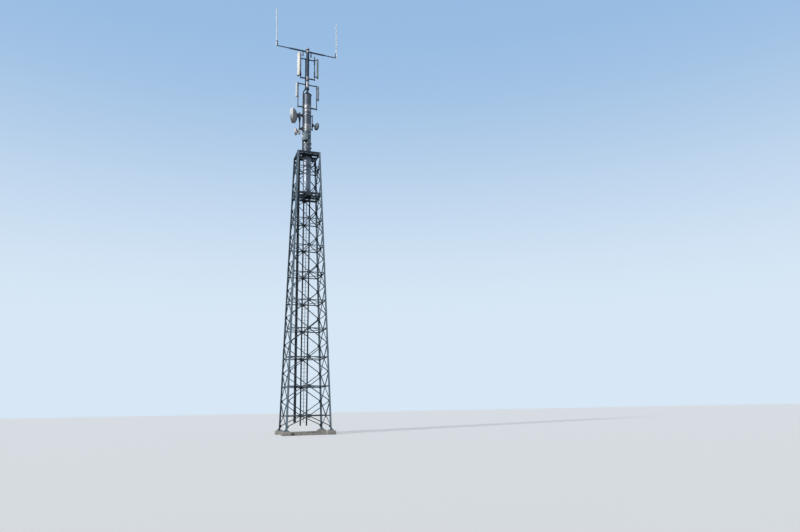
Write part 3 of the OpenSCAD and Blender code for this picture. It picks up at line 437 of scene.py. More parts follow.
def make_finishes(c):
    """Make every finish from the colours and the wear in the settings."""
    # Bracing and legs are one zinc in two tones: the bracing painted dark as shade, the legs lighter as
    # lit.
    for name, colour in (("lattice_steel", c.lattice), ("leg_steel", c.legs)):
        weathered_zinc(name, colour, c.rust, c.soil, joints=True)
    # The frames' and ladders' zinc is painted almost black as shade.
    for name, colour in (("frame_steel", c.frames), ("deck_steel", c.deck),
                         ("clamp_steel", c.clamps)):
        weathered_zinc(name, colour, c.rust, c.soil)
    for name, colour in (("pole_steel", c.poles), ("crossarm_steel", c.crossarm)):
        weathered_zinc(name, colour, c.rust * 0.6, c.soil)
    # Below the head the mast's zinc is painted lighter and shinier: a painted highlight.
    weathered_zinc("mast_steel", c.mast, c.rust * 0.5, c.soil, metal=0.65, rough=0.42,
                   painted_highlight_below=HEAD_Z)
    # The upper tube's darker zinc is painted shade.
    weathered_zinc("upper_tube_steel", c.upper_tube, c.rust * 0.5, c.soil, metal=0.5, rough=0.36)
    bolt_zinc("bolt_zinc", c.bolts)
    cast_concrete("concrete", c.concrete)
    # The third value scales both the wear and the painted shade on faces turned down.
    for name, colour, wear_and_shade, gloss in (
            # The right panels' grey cover is a shaded copy of the left panels' cover: painted shade.
            ("radome", c.radome, 0.5, 0.45), ("radome_grey", c.shaded_radome, 0.6, 0.45),
            ("dish_shell", c.dishes, 0.6, 0.45), ("dish_back", c.dish_backs, 0.55, 0.5),
            # The small left dish's paint is lighter, with little shade under it: painted light.
            ("dish_clean", scaled(c.dishes, 1.06), 0.12, 0.45),
            # The right dish's dark paint is painted shade.
            ("dish_grey", c.shaded_dish, 0.25, 0.45),
            ("dish_membrane", scaled(c.dishes, 1.08), 0.6, 0.55),
            ("box_housing", c.housing, 0.9, 0.4), ("whip_glassfibre", c.whips, 0.1, 0.4),
            ("radio_case", scaled(c.radome, 0.98), 0.4, 0.5)):
        moulded_shell(name, colour, wear_and_shade, gloss)
    black_sheath("cable_sheath", c.sheath)
    black_sheath("black_rubber", scaled(c.sheath, 1.3))
    bright_metal("bright_metal", BARE_METAL)
    bright_metal("strap_steel", c.straps, rough=0.34)
    bright_metal("ferrule_alloy", c.whips, metal=0.35)


class Shell:
    """The closed surfaces of one piece, gathered in one mesh."""

    def __init__(self):
        self.mesh = bmesh.new()

    def add(self, rows, closed=False):
        """Skin through rows of as many points, or of one point where a row is a pole."""
        rows = [[self.mesh.verts.new(p) for p in row] for row in rows]
        pairs = list(zip(rows, rows[1:])) + ([(rows[-1], rows[0])] if closed else [])
        for a, b in pairs:
            n = max(len(a), len(b))
            for i in range(n):
                j = (i + 1) % n
                corners = [a[i % len(a)], a[j % len(a)], b[j % len(b)], b[i % len(b)]]
                self.mesh.faces.new(list(dict.fromkeys(corners)))
        if not closed:
            for row in (rows[0], rows[-1]):
                if len(row) > 2:
                    self.mesh.faces.new(row)

    def lathe(self, profile, place, sides, closed=False):
        """Turn a profile of (radius, height) about the Z axis of place."""
        rows = []
        for radius, height in profile:
            count = sides if radius > 1e-6 else 1
            rows.append([place @ Vector((*polar(radius, 2 * math.pi * i / count), height))
                         for i in range(count)])
        self.add(rows, closed)

    def prism(self, outline, low, high, place, rim=0.0):
        """Extrude an outline along Z, its ends drawn in by rim."""
        middle = sum((Vector(p) for p in outline), Vector((0, 0))) / len(outline)
        steps = ((low, rim), (low + rim, 0), (high - rim, 0), (high, rim))
        rows = []
        for height, inset in steps if rim else ((low, 0), (high, 0)):
            row = []
            for p in outline:
                arm = Vector(p) - middle
                at = middle + arm * (1 - inset / max(arm.length, 1e-6))
                row.append(place @ Vector((at.x, at.y, height)))
            rows.append(row)
        self.add(rows)

    def plate(self, outline, thickness, place):
        """Flat plate whose outline lies in X and Z of place, half its thickness on either side."""
        self.prism(outline, -thickness / 2, thickness / 2, place @ UPRIGHT)

    def block(self, size, place, bevel=0.0):
        """Box of that size about the middle of place, its edges broken by bevel."""
        made = bmesh.ops.create_cube(self.mesh, size=1,
                                     matrix=place @ Matrix.Diagonal((*size, 1)))
        if bevel:
            edges = list(dict.fromkeys(e for v in made["verts"] for e in v.link_edges))
            bmesh.ops.bevel(self.mesh, geom=edges, offset=bevel, segments=2, profile=0.6,
                            affect="EDGES", clamp_overlap=True)

    def rod(self, points, radius, sides):
        """Round bar along a run of points."""
        points = [Vector(p) for p in points]
        side = None
        rows = []
        for i, at in enumerate(points):
            heading = (points[min(i + 1, len(points) - 1)] - points[max(i - 1, 0)]).normalized()
            if side is None:
                side = heading.orthogonal().normalized()
            side = (side - heading * side.dot(heading)).normalized()
            across = heading.cross(side)
            rows.append([at + radius * (side * math.cos(2 * math.pi * k / sides)
                                        + across * math.sin(2 * math.pi * k / sides))
                         for k in range(sides)])
        self.add(rows)

    def piece(self, name, finish, slot):
        """Close the mesh, give it its finish and make the piece."""
        bmesh.ops.recalc_face_normals(self.mesh, faces=self.mesh.faces)
        mesh = bpy.data.meshes.new(name)
        self.mesh.to_mesh(mesh)
        self.mesh.free()
        mesh.materials.append(FINISH[finish])
        return set_piece(name, mesh)


def set_piece(name, mesh):
    """Make the object of a mesh, smooth but for its sharp edges, and set it on the tower."""
    mesh.name = name
    mesh.polygons.foreach_set("use_smooth", [True] * len(mesh.polygons))
    mesh.set_sharp_from_angle(angle=SHARP_ANGLE)
    made = bpy.data.objects.new(name, mesh)
    bpy.context.scene.collection.objects.link(made)
    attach(made, BODY)
    return made


class GeometryTree(NodeTree):
    """A geometry node tree with points and named inputs, which ends in real faces and a finish."""

    def __init__(self, name):
        super().__init__(bpy.data.node_groups.new(name, "GeometryNodeTree"))
        for way in ("INPUT", "OUTPUT"):
            self.tree.interface.new_socket("Geometry", in_out=way,
                                           socket_type="NodeSocketGeometry")
        self.entry = self.tree.nodes.new("NodeGroupInput")
        self.exit = self.tree.nodes.new("NodeGroupOutput")
        self.points = Signal(self, self.entry.outputs["Geometry"])

    def value(self, name, kind="NodeSocketFloat"):
        """Declare a named input."""
        self.tree.interface.new_socket(name, in_out="INPUT", socket_type=kind)
        return Signal(self, self.entry.outputs[name])

    def attribute(self, name, kind="FLOAT"):
        """A value that each point has."""
        return self.node("GeometryNodeInputNamedAttribute", {"Name": name}, "Attribute",
                         data_type=kind)

    def bar(self, sides, radius, depth, lift=0.0):
        """Cylinder on the Z axis, its middle at the height lift."""
        made = self.node("GeometryNodeMeshCylinder",
                         {"Vertices": sides, "Radius": radius, "Depth": depth}, "Mesh")
        return self.moved(made, self.vector(0.0, 0.0, lift))

    def moved(self, what, translation=(0, 0, 0), rotation=(0, 0, 0)):
        return self.node("GeometryNodeTransform", {"Geometry": what, "Translation": translation,
                                                   "Rotation": rotation})

    def join(self, *parts):
        return self.node("GeometryNodeJoinGeometry", {"Geometry": list(parts)})

    def on_points(self, what, points=None, **inputs):
        return self.node("GeometryNodeInstanceOnPoints",
                         {"Points": points or self.points, "Instance": what, **inputs})

    def aligned(self, axis, attribute, **inputs):
        """Rotation that turns one axis to the vector that each point has."""
        free = "Z" if axis == "Y" else "AUTO"
        towards = self.attribute(attribute, "FLOAT_VECTOR")
        return self.node("FunctionNodeAlignRotationToVector", {"Vector": towards, **inputs},
                         axis=axis, pivot_axis=free)

    def spun(self, rotation, seed):
        """A rotation turned by chance about its own Z axis."""
        chance = self.node("FunctionNodeRandomValue", {2: 0.0, 3: 2 * math.pi, "Seed": seed}, 1,
                           data_type="FLOAT")
        about = self.node("FunctionNodeAxisAngleToRotation", {"Axis": (0, 0, 1), "Angle": chance})
        return self.node("FunctionNodeRotateRotation", {"Rotation": rotation, "Rotate By": about},
                         rotation_space="LOCAL")

    def close(self, geometry):
        real = self.node("GeometryNodeRealizeInstances", {"Geometry": geometry})
        done = self.node("GeometryNodeSetMaterial",
                         {"Geometry": real, "Material": self.value("Finish", "NodeSocketMaterial")})
        self.tree.links.new(done.socket, self.exit.inputs["Geometry"])
        return self.tree


def values_of(settings, finish):
    """The settings by their names, which the inputs of the node trees share, and a finish."""
    values = {settings.bl_rna.properties[key].name: getattr(settings, key)
              for key in settings.__annotations__}
    return {**values, "Finish": FINISH[finish]}


def grow(name, slot, tree, inputs, places, **attributes):
    """Run a geometry node tree on points with named values, and keep its result as a piece."""
    points = bpy.data.meshes.new(name + "_points")
    points.from_pydata([tuple(p) for p in places], [], [])
    for key, values in attributes.items():
        vector = not isinstance(values[0], (int, float))
        made = points.attributes.new(key, "FLOAT_VECTOR" if vector else "FLOAT", "POINT")
        flat = [c for v in values for c in v] if vector else [float(v) for v in values]
        made.data.foreach_set("vector" if vector else "value", flat)
    seed = bpy.data.objects.new(name + "_seed", points)
    bpy.context.scene.collection.objects.link(seed)
    modifier = seed.modifiers.new("Grow", "NODES")
    modifier.node_group = tree
    for item in tree.interface.items_tree:
        if item.in_out == "INPUT" and item.name in inputs:
            modifier[item.identifier] = inputs[item.name]
    bpy.context.view_layer.update()
    graph = bpy.context.evaluated_depsgraph_get()
    mesh = bpy.data.meshes.new_from_object(seed.evaluated_get(graph))
    seed.modifiers.clear()
    bpy.data.objects.remove(seed)
    if not mesh.polygons:
        raise RuntimeError(name + " came out empty")
    return set_piece(name, mesh)


def fastener_tree():
    """Hexagon bolt heads, and nuts with the thread's end, on points with axis, size and nut."""
    t = GeometryTree("Fasteners")
    flats, head, nut = t.value("Across flats"), t.value("Head height"), t.value("Nut height")
    washer, plate = t.value("Washer radius"), t.value("Washer thickness")
    thread, stub = t.value("Thread radius"), t.value("Thread length")
    radius = flats * (1 / math.sqrt(3))
    disc = t.bar(12, washer, plate, plate * 0.5)
    bolt = t.join(disc, t.bar(6, radius, head, plate + head * 0.5))
    capped = t.join(disc, t.bar(6, radius, nut, plate + nut * 0.5),
                    t.bar(8, thread, stub, plate + nut + stub * 0.5))
    rotation = t.spun(t.aligned("Z", "axis"), t.value("Seed", "NodeSocketInt"))
    size, is_nut = t.attribute("size"), t.attribute("nut")
    sets = [t.on_points(what, Selection=chosen, Rotation=rotation, Scale=size)
            for chosen, what in ((1 - is_nut, bolt), (is_nut, capped))]
    return t.close(t.join(*sets))


def clip_tree():
    """Cable clips: an arch over each cable and a bolt at each end, on points with axis and out."""
    t = GeometryTree("Cable clips")
    radius, pitch = t.value("Cable radius"), t.value("Cable pitch")
    width, count = t.value("Strap width"), t.value("Cables", "NodeSocketInt")
    arch = t.node("GeometryNodeCurveArc", {"Resolution": 9, "Radius": radius + 0.002,
                                           "Start Angle": 0.0, "Sweep Angle": math.pi},
                  mode="RADIUS")
    strip = t.node("GeometryNodeCurvePrimitiveQuadrilateral", {"Width": 0.003, "Height": width},
                   mode="RECTANGLE")
    arch = t.node("GeometryNodeCurveToMesh", {"Curve": arch, "Profile Curve": strip,
                                              "Fill Caps": True})
    line = t.node("GeometryNodeMeshLine", {"Count": count, "Offset": t.vector(pitch, 0.0, 0.0)},
                  mode="OFFSET", count_mode="TOTAL")
    arches = t.moved(t.on_points(arch, line), t.vector((count - 1) * pitch * -0.5, 0.0, 0.0))
    bolts = [t.moved(t.moved(t.bar(6, 0.008, 0.012), rotation=(math.pi / 2, 0, 0)),
                     t.vector((count * pitch * 0.5 + 0.006) * side, 0.006, 0.0))
             for side in (-1, 1)]
    rotation = t.aligned("Y", "out", Rotation=t.aligned("Z", "axis"))
    return t.close(t.on_points(t.join(arches, *bolts), Rotation=rotation))


def grating_tree():
    """Bar grating, on points with a length and rod: flat bars along Y, round rods along X."""
    t = GeometryTree("Grating")
    section = t.vector(t.value("Bar thickness"), 1.0, t.value("Bar depth"))
    bar = t.node("GeometryNodeMeshCube", {"Size": section}, "Mesh")
    rod = t.moved(t.bar(6, t.value("Rod radius"), 1.0), rotation=(0, math.pi / 2, 0))
    length, is_rod = t.attribute("length"), t.attribute("rod")
    bars = t.on_points(bar, Selection=1 - is_rod, Scale=t.vector(1.0, length, 1.0))
    rods = t.on_points(rod, Selection=is_rod, Scale=t.vector(length, 1.0, 1.0))
    return t.close(t.join(bars, rods))


def weld_tree():
    """Rippled weld beads round tubes, on points with a radius."""
    t = GeometryTree("Weld beads")
    bead, ripples = t.value("Bead radius"), t.value("Ripples", "NodeSocketInt")
    ring = t.node("GeometryNodeCurvePrimitiveCircle", {"Resolution": ripples * 2, "Radius": 1.0},
                  mode="RADIUS")
    rings = t.node("GeometryNodeRealizeInstances",
                   {"Geometry": t.on_points(ring, Scale=t.attribute("radius"))})
    ripple = (t.node("GeometryNodeInputIndex") * 0.5).fraction() * 0.5 + 0.9
    rings = t.node("GeometryNodeSetCurveRadius", {"Curve": rings, "Radius": ripple})
    profile = t.node("GeometryNodeCurvePrimitiveCircle", {"Resolution": 6, "Radius": bead},
                     mode="RADIUS")
    return t.close(t.node("GeometryNodeCurveToMesh", {"Curve": rings, "Profile Curve": profile,
                                                      "Scale": ripple}))


class Bolts:
    """Gathers fasteners, each at a place with an axis that points out of the joint.

    Their size is a share of the M20 in the settings, so 0.8 is an M16.
    """

    def __init__(self):
        self.places, self.axes, self.sizes, self.nuts = [], [], [], []

    def one(self, frame_of, place, axis, size=1.0, nut=False):
        self.places.append(frame_of @ Vector(place))
        self.axes.append((frame_of.to_3x3() @ Vector(axis)).normalized())
        self.sizes.append(size)
        self.nuts.append(1.0 if nut else 0.0)

    def through(self, frame_of, place, axis, grip, size=1.0):
        """Head at place, out along axis, and a nut on the far side of the grip."""
        far = Vector(place) - Vector(axis).normalized() * grip
        self.one(frame_of, place, axis, size)
        self.one(frame_of, far, -Vector(axis), size, nut=True)

    def sideways(self, frame_of, place, side, size, nut=False):
        """Head or nut towards the side -1 or 1 along Y."""
        self.one(frame_of, place, (0, side, 0), size, nut)

    def piece(self, name, scene):
        tree = bpy.data.node_groups.get("Fasteners") or fastener_tree()
        inputs = {**values_of(scene.tower_fasteners, "bolt_zinc"), "Seed": 7}
        grow(name, "clamp_steel", tree, inputs, self.places, axis=self.axes, size=self.sizes,
             nut=self.nuts)


def bracing_bolts(k):
    """Fasteners of the plates, rails and diagonals on face k."""
    b, m, out = Bolts(), face_matrix(k), (0, -1, 0)
    for i in range(LEVELS):
        s, half = face_s(level_z(i)), half_w(level_z(i))
        framed = i == FOOT_LEVEL
        for z_leg in (HEAD_DIAGONAL_Z if i == LEVELS - 1 else half_bay_z(i),
                      FOOT_DIAGONAL_Z if i == 0 else half_bay_z(i - 1)):
            for side in (-1, 1):
                run = Vector((side * (half_w(z_leg) - LEG_W / 2), face_s(z_leg) - s))
                way = run.normalized()
                for at in ((FRAME_CUT if framed else MID_CUT) + 0.024,
                           run.length - LEG_CUT - 0.024, run.length - LEG_CUT - 0.066):
                    b.through(m, (way.x * at, PLATE_Y, s + way.y * at), out,
                              GUSSET_T + BRACE_T, 0.62)
        for side in (-1, 1):
            if framed:
                for x, dz in ((0.05, 0), (0.12, 0.04), (0.12, -0.04)):
                    b.one(m, (side * x, PLATE_Y, s + dz), out, 0.8)
                continue
            for x in (0.045, 0.1, half - 0.16, half - 0.122):
                b.through(m, (side * x, PLATE_Y, s), out, GUSSET_T + RAIL_T, 0.8)
            for dz in (-0.03, 0.03):
                b.through(m, (side * (half - 0.055), 0, s + dz), out, BAR_Y, 0.8)
    for z in [half_bay_z(i) for i in range(LEVELS - 1)] + [FOOT_DIAGONAL_Z, HEAD_DIAGONAL_Z]:
        for side in (-1, 1):
            for dz in (-0.105, 0, 0.105):
                b.through(m, (side * (half_w(z) - 0.058), 0, face_s(z) + dz), out, BAR_Y, 0.8)
    return b


def leg_bolts():
    """Splice bolts, anchor bolts on the piers, and the bolts of the two frames."""
    b, anchor = Bolts(), 0.15
    for k in range(4):
        m = leg_matrix(k)
        for level in SPLICE_LEVELS:
            s = face_s(FIRST_Z + BAY_H * level) + BAY_H / 4
            for along in (-0.23, -0.14, -0.05, 0.05, 0.14, 0.23):
                for across in (0.045, 0.105):
                    b.through(m, (across, -SPLICE_T, s + along), (0, -1, 0), SPLICE_T + LEG_T, 0.8)
                    b.through(m, (-SPLICE_T, across, s + along), (-1, 0, 0), SPLICE_T + LEG_T, 0.8)
        middle = -BASE_W / 2 + BASE_PLATE_IN
        for dx in (-anchor, anchor):
            for dy in (-anchor, anchor):
                b.one(turn_z(math.pi / 2 * k), (middle + dx, middle + dy, PIER_H + BASE_PLATE_T),
                      (0, 0, 1), 1.6, nut=True)
        for z in (HEAD_Z, FOOT_Z):
            for side in (-1, 1):
                for dz in (-0.045, 0.045):
                    b.one(face_matrix(k),
                          (side * (half_w(z) - 0.055), 0, face_s(z - FRAME_H / 2) + dz),
                          (0, -1, 0), 0.8)
    return b


def mast_bolts():
    """Flange bolts of the mast's tubes and the closing bolts of its bands."""
    b = Bolts()
    ribs = 8
    half_step = 180 / ribs
    for i in range(ribs):
        for turn, radius, z, size in ((-9, FOOT_BOLT_R, FOOT_Z, 1.0), (9, FOOT_BOLT_R, FOOT_Z, 1.0),
                                      (half_step - 15, CAP_BOLT_R, CAP_Z, 0.8),
                                      (half_step, CAP_BOLT_R, CAP_Z, 0.8),
                                      (half_step + 15, CAP_BOLT_R, CAP_Z, 0.8)):
            a = math.radians(360 / ribs * i + turn)
            b.through(Matrix(), (*polar(radius, a), z + FLANGE_T), (0, 0, 1), FLANGE_T, size)
        a = math.radians(360 / ribs * i + half_step)
        b.one(Matrix(), (*polar(NECK_BOLT_R, a), POLE_Z + FLANGE_T), (0, 0, 1), 0.62)
    for radius, z, lugs in mast_bands():
        for angle in lugs:
            for dz in (-0.024, 0.024):
                b.through(turn_z(math.radians(angle)), (radius + 0.045, -0.018, z + dz),
                          (0, -1, 0), 0.036, 0.8)
    return b


def mast_bands():
    """The clamp bands on the mast: radius of the tube, height, and the angles of the lugs."""
    yaw = math.degrees(ARM_YAW)
    bands = [(MAST_R, z, (-20, 240)) for z in MAST_BANDS]
    bands += [(MAST_R, z, (-90, 80)) for z in DISH_COLLARS]
    bands += [(POLE_R, z, (-90 + yaw, 90 + yaw))
              for z in (UPPER_ARM_Z, UPPER_ARM_LOW_Z, LOWER_ARM_Z)]
    return bands + [(MAST_R, LOWER_ARM_LOW_Z, (-90 + yaw, 90 + yaw))]


def strap(shell, radius, z, height):
    """Pressed steel strap about the mast, with a bead along its middle."""
    half, skin, bead = height / 2, radius + 0.003, radius + 0.006
    shell.lathe([(radius, -half), (skin, -half), (skin, -0.2 * half), (bead, -0.1 * half),
                 (bead, 0.1 * half), (skin, 0.2 * half), (skin, half), (radius, half)],
                shift(0, 0, z), 96, closed=True)


def clamp_places():
    """Frames of the round clamps on the antenna and dish poles, X away from the mast, and radii."""
    places = [(arm_matrix(side * reach, 0, z, 0 if side > 0 else math.pi), TUBE_R)
              for reach, heights in ((UPPER_REACH, (UPPER_ARM_Z, UPPER_ARM_LOW_Z)),
                                     (LOWER_REACH, (LOWER_ARM_Z, LOWER_ARM_LOW_Z)))
              for z in heights for side in (-1, 1)]
    for turn, reach, r in ((LEFT_DISH_TURN, LEFT_DISH_REACH, LEFT_DISH_POLE_R),
                           (0.0, RIGHT_DISH_REACH, TUBE_R)):
        places += [(turn_z(turn) @ shift(reach, 0, z), r) for z in DISH_COLLARS]
    return places


def pipe_jaws(shell, bolts, m, r, reach, height=0.06):
    """Two jaws about a pole of radius r on the Z axis, drawn together along X by threaded rods.

    The rods end at the distance reach, where they hold what the pole carries.
    """
    flange = 0.018
    for side in (-1, 1):
        half = [(0.002, r + 0.034), (flange, r + 0.034), (flange, r + 0.010), (r + 0.014, 0.5 * r)]
        notch = [(r + 0.0013, 0.42 * r), (0.004, r + 0.007)]
        outline = [(side * x, -y) for x, y in half] + [(side * x, y) for x, y in reversed(half)]
        outline += [(side * x, y) for x, y in reversed(notch)]
        outline += [(side * x, -y) for x, y in notch]
        shell.prism(outline, -height / 2, height / 2, m)
    for y in (-r - 0.022, r + 0.022):
        shell.rod([m @ Vector((x, y, 0)) for x in (-0.045, reach)], 0.006, 8)
        for way in (-1, 1):
            bolts.one(m, (way * flange, y, 0), (way, 0, 0), 0.6, nut=True)


def socket(shell, place, tip, rim, collar, top, sides):
    """Cable socket that hangs down, its heights given from the tip to the top."""
    shell.lathe([(0, tip), (0.008, tip), (0.011, rim), (0.011, collar), (0.015, collar + 0.002),
                 (0.015, top), (0, top)], place, sides)


def bowed_outline(w, t):
    """Section of a panel antenna: flat back at X 0, face bowed towards X t, rounded edges."""
    half, side, edge = w / 2, t * 0.55, 0.012
    steps, bows = 5, 8
    rounded = []
    for i in range(steps, -1, -1):
        a = math.pi / 2 * i / steps
        rounded.append((edge * (1 - math.sin(a)), -half + edge * (1 - math.cos(a))))
    face = []
    for i in range(-bows, bows + 1):
        u = i / bows
        face.append((side + (t - side) * (1 - abs(u) ** 3.2) ** 0.5, u * half))
    return rounded + face + [(x, -y) for x, y in reversed(rounded)]


class PanelAntenna:
    """Panel antenna on a pole at the end of the arms on one side, its foot at height z.

    Its size is width, depth and height. Its back stands off the pole by back.
    """

    def __init__(self, name, side, reach, azimuth, size, back, z):
        self.name, self.side, self.back = name, side, back
        self.w, self.t, self.h = size
        self.pole = (turn_z(ARM_YAW) @ shift(side * reach, 0, z)
                     @ turn_z(math.radians(azimuth) - ARM_YAW))
        self.m = self.pole @ shift(TUBE_R + back, 0, 0)

    def cover(self):
        """Bowed cover between end caps, with a recess at the joints."""
        w, t, h, m = self.w, self.t, self.h, self.m
        cap, joint = 0.03, 0.004
        shell = Shell()
        shell.prism(bowed_outline(w, t), cap + joint, h - cap - joint, m, 0.003)
        for start, stop in ((0.0, cap), (h - cap, h)):
            shell.prism(bowed_outline(w - 0.006, t - 0.003), start, stop,
                        m @ shift(0.0015, 0, 0), 0.008)
        shell.prism(bowed_outline(w - 0.016, t - 0.01), 0.02, h - 0.02, m @ shift(0.004, 0, 0))
        # The right panels take the dark copy of the cover, a painted shade.
        made = shell.piece(self.name, "radome" if self.side < 0 else "radome_grey", "radome")
        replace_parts(made, self.name)

    def brackets(self, upper_clamp, bolts):
        """Rails on the back and two brackets. The deep left panel has a foot between cheeks."""
        w, t, h, m, back = self.w, self.t, self.h, self.m, self.back
        shell = Shell()
        for y in (-w * 0.3, w * 0.3):
            shell.block((0.012, 0.03, h - 0.08), m @ shift(-0.006, y, h / 2), 0.002)
        for z in (0.09, h - upper_clamp):
            at = m @ shift(0, 0, z)
            shell.block((0.01, w * 0.72, 0.05), at @ shift(-0.017, 0, 0), 0.002)
            for way in (-1, 1):
                shell.block((back - 0.03, 0.006, 0.055),
                            at @ shift(-back / 2 - 0.004, way * 0.035, 0), 0.001)
                bolts.sideways(at, (-0.04, way * 0.038, 0), way, 0.6)
            pipe_jaws(shell, bolts, self.pole @ shift(0, 0, z), TUBE_R, 0.062)
        if t > 0.12 and self.side < 0:
            cheek = [(-back + 0.03, -0.015), (t * 0.8, -0.015), (t * 0.8, 0.03), (0.02, 0.33),
                     (-0.012, 0.36), (-back + 0.03, 0.14)]
            for way in (-1, 1):
                y = way * (w / 2 + 0.004)
                shell.plate(cheek, 0.006, m @ shift(0, y, 0))
                for x, z in ((-0.02, 0.05), (-0.02, 0.2), (0.05, 0.02)):
                    bolts.sideways(m, (x, y + way * 0.003, z), way, 0.5)
            shell.block((0.05, w + 0.008, 0.006), m @ shift(0.02, 0, -0.012), 0.001)
        shell.piece(self.name + "_brackets", "clamp_steel", "clamp_steel")

    def sockets(self):
        shell = Shell()
        for y in (-0.3, -0.1, 0.1, 0.3):
            shell.lathe([(0, -0.03), (0.009, -0.03), (0.011, -0.028), (0.011, -0.014),
                         (0.014, -0.014), (0.014, -0.002), (0.017, -0.002), (0.017, 0.004),
                         (0, 0.004)], self.m @ shift(self.t * 0.45, y * self.w, 0), 16)
        shell.piece(self.name + "_sockets", "bright_metal", "radome")


class Dish:
    """Drum dish of diameter d, on a pole on the Z axis of place.

    The back of its drum stands off along X by stand, and its hub is as long as hub.
    """

    def __init__(self, name, place, pole_r, d, stand, hub):
        self.name, self.place, self.pole_r = name, place, pole_r
        self.stand, self.hub = stand, hub
        self.r, self.drum, self.bowl, self.dome = d / 2, d * 0.2, d * 0.16, d * 0.035
        self.hub_r = (d * 0.2 + 0.02) / 2
        self.m = place @ shift(stand, 0, 0) @ ALONG_X
        self.rim_bolt_count = max(12, int(d * 20))

    def build(self, bolts, ribs, drum_finish, back_finish, membrane_finish):
        self.shell(drum_finish)
        self.back(back_finish, ribs)
        self.membrane(membrane_finish)
        self.mount(bolts, ribs > 0)
        for i in range(self.rim_bolt_count):
            a = 2 * math.pi * (i + 0.5) / self.rim_bolt_count
            bolts.one(self.m @ turn_z(a), (self.r + 0.006, 0, self.drum - 0.0155), (1, 0, 0), 0.3)

    def hollow(self, u):
        """Point of the spun back, from the hub at u 0 to the rim at u 1."""
        return self.hub_r + (self.r - self.hub_r) * u, -self.bowl + self.bowl * u * u

    def shell(self, finish):
        """Drum with its rolled rims."""
        r, drum = self.r, self.drum
        shell = Shell()
        shell.lathe([(r + 0.008, 0.0), (r + 0.0085, 0.010), (r + 0.007, 0.02), (r + 0.001, 0.022),
                     (r, 0.04), (r + 0.004, 0.044), (r + 0.004, 0.052), (r, 0.056),
                     (r, drum - 0.03), (r + 0.006, drum - 0.027), (r + 0.006, drum - 0.004),
                     (r, drum), (r - 0.012, drum + 0.001), (r - 0.014, drum - 0.004),
                     (r - 0.014, 0.001)], self.m, 96, closed=True)
        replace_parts(shell.piece(self.name, finish, "dish_shell"), self.name)

    def back(self, finish, ribs):
        """Spun back with its hub and the pressed ribs."""
        r, bowl, hub_r = self.r, self.bowl, self.hub_r
        rear = -bowl - self.hub
        profile = [(0, rear), (hub_r - 0.004, rear), (hub_r, rear + 0.004), (hub_r, -bowl - 0.004)]
        for i in range(1, 19):
            radius, height = self.hollow(i / 18)
            profile.append((radius, height - 0.003 * math.sin(i / 18 * math.pi * 6) ** 2))
        shell = Shell()
        shell.lathe(profile + [(r - 0.02, -0.001), (0, -bowl + 0.01)], self.m, 96)
        spine = [self.hollow(0.06 + 0.86 * j / 8) for j in range(9)]
        crest = [(x, y - 0.022 * (1 - (x - hub_r) / r)) for x, y in reversed(spine)]
        for i in range(ribs):
            shell.plate(spine + crest, 0.008, self.m @ turn_z(2 * math.pi * i / ribs))
        shell.piece(self.name + "_back", finish, "dish_shell")

    def membrane(self, finish):
        """Domed membrane stretched over the drum's mouth."""
        r, drum = self.r, self.drum
        profile = [(0, drum - 0.003), (r - 0.016, drum - 0.003), (r - 0.012, drum + 0.0015)]
        for i in range(1, 12):
            a = math.pi / 2 * i / 12
            profile.append((r * 0.97 * math.cos(a), drum + 0.002 + self.dome * math.sin(a) ** 0.8))
        shell = Shell()
        shell.lathe(profile + [(0, drum + 0.002 + self.dome)], self.m, 72)
        shell.piece(self.name + "_membrane", finish, "dish_shell")

    def mount(self, bolts, braced):
        """Arm and boss behind the hub, back plate, jaws and adjusting rod."""
        place, pole_r, hub_r = self.place, self.pole_r, self.hub_r
        start = pole_r + 0.02
        length = self.stand - self.bowl - self.hub - start
        shell = Shell()
        shell.block((length * 0.55, hub_r * 1.1, hub_r * 1.1),
                    place @ shift(start + 0.01 + length * 0.27, 0, 0), 0.006)
        shell.lathe([(0, 0), (hub_r * 0.82, 0), (hub_r * 0.9, 0.006), (hub_r * 0.9, 0.02),
                     (hub_r * 0.6, 0.026), (hub_r * 0.45, 0.05), (0, 0.05)],
                    place @ shift(start + length + 0.001, 0, 0)
                    @ Matrix.Rotation(-math.pi / 2, 4, "Y"), 32)
        shell.block((0.012, 2 * pole_r + 0.024, 0.3), place @ shift(start + 0.016, 0, 0), 0.003)
        for y in (-pole_r - 0.008, pole_r + 0.008):
            shell.block((0.05, 0.006, 0.24), place @ shift(start + 0.044, y, 0), 0.002)
        for z in (-0.11, 0.11):
            pipe_jaws(shell, bolts, place @ shift(0, 0, z), pole_r, start + 0.02, CLAMP_H)
            for y in (0.03, -0.03):
                bolts.one(place, (start + 0.022, y, z * 0.5), (1, 0, 0), 0.8)
        rod_y = pole_r + 0.032
        shell.rod([place @ Vector((start + 0.024, rod_y, -0.1)),
                   place @ Vector((start + length * 0.8, rod_y, 0.02))], 0.007, 8)
        if braced:
            self.braces(shell, start, length)
        shell.piece(self.name + "_mount", "clamp_steel", "clamp_steel")

    def braces(self, shell, start, length):
        """Wedges down the pole, and cheeks that reach out to the hub."""
        wedge = [(self.pole_r + out, z) for out, z in (
            (0.0005, -0.19), (0.045, -0.2), (0.04, -0.28), (0.006, -0.62), (0.0005, -0.63))]
        for turn in (math.pi, math.pi * 1.5, 0, math.pi / 2):
            shell.plate(wedge, 0.008, self.place @ turn_z(turn))
        tip = length + 0.03
        cheek = [(0.0, -0.17), (0.05, -0.17), (tip, -0.07), (tip, 0.07), (0.05, 0.17), (0.0, 0.17)]
        for y in (-self.hub_r * 0.62, self.hub_r * 0.62):
            shell.plate(cheek, 0.008, self.place @ shift(start + 0.022, y, 0))


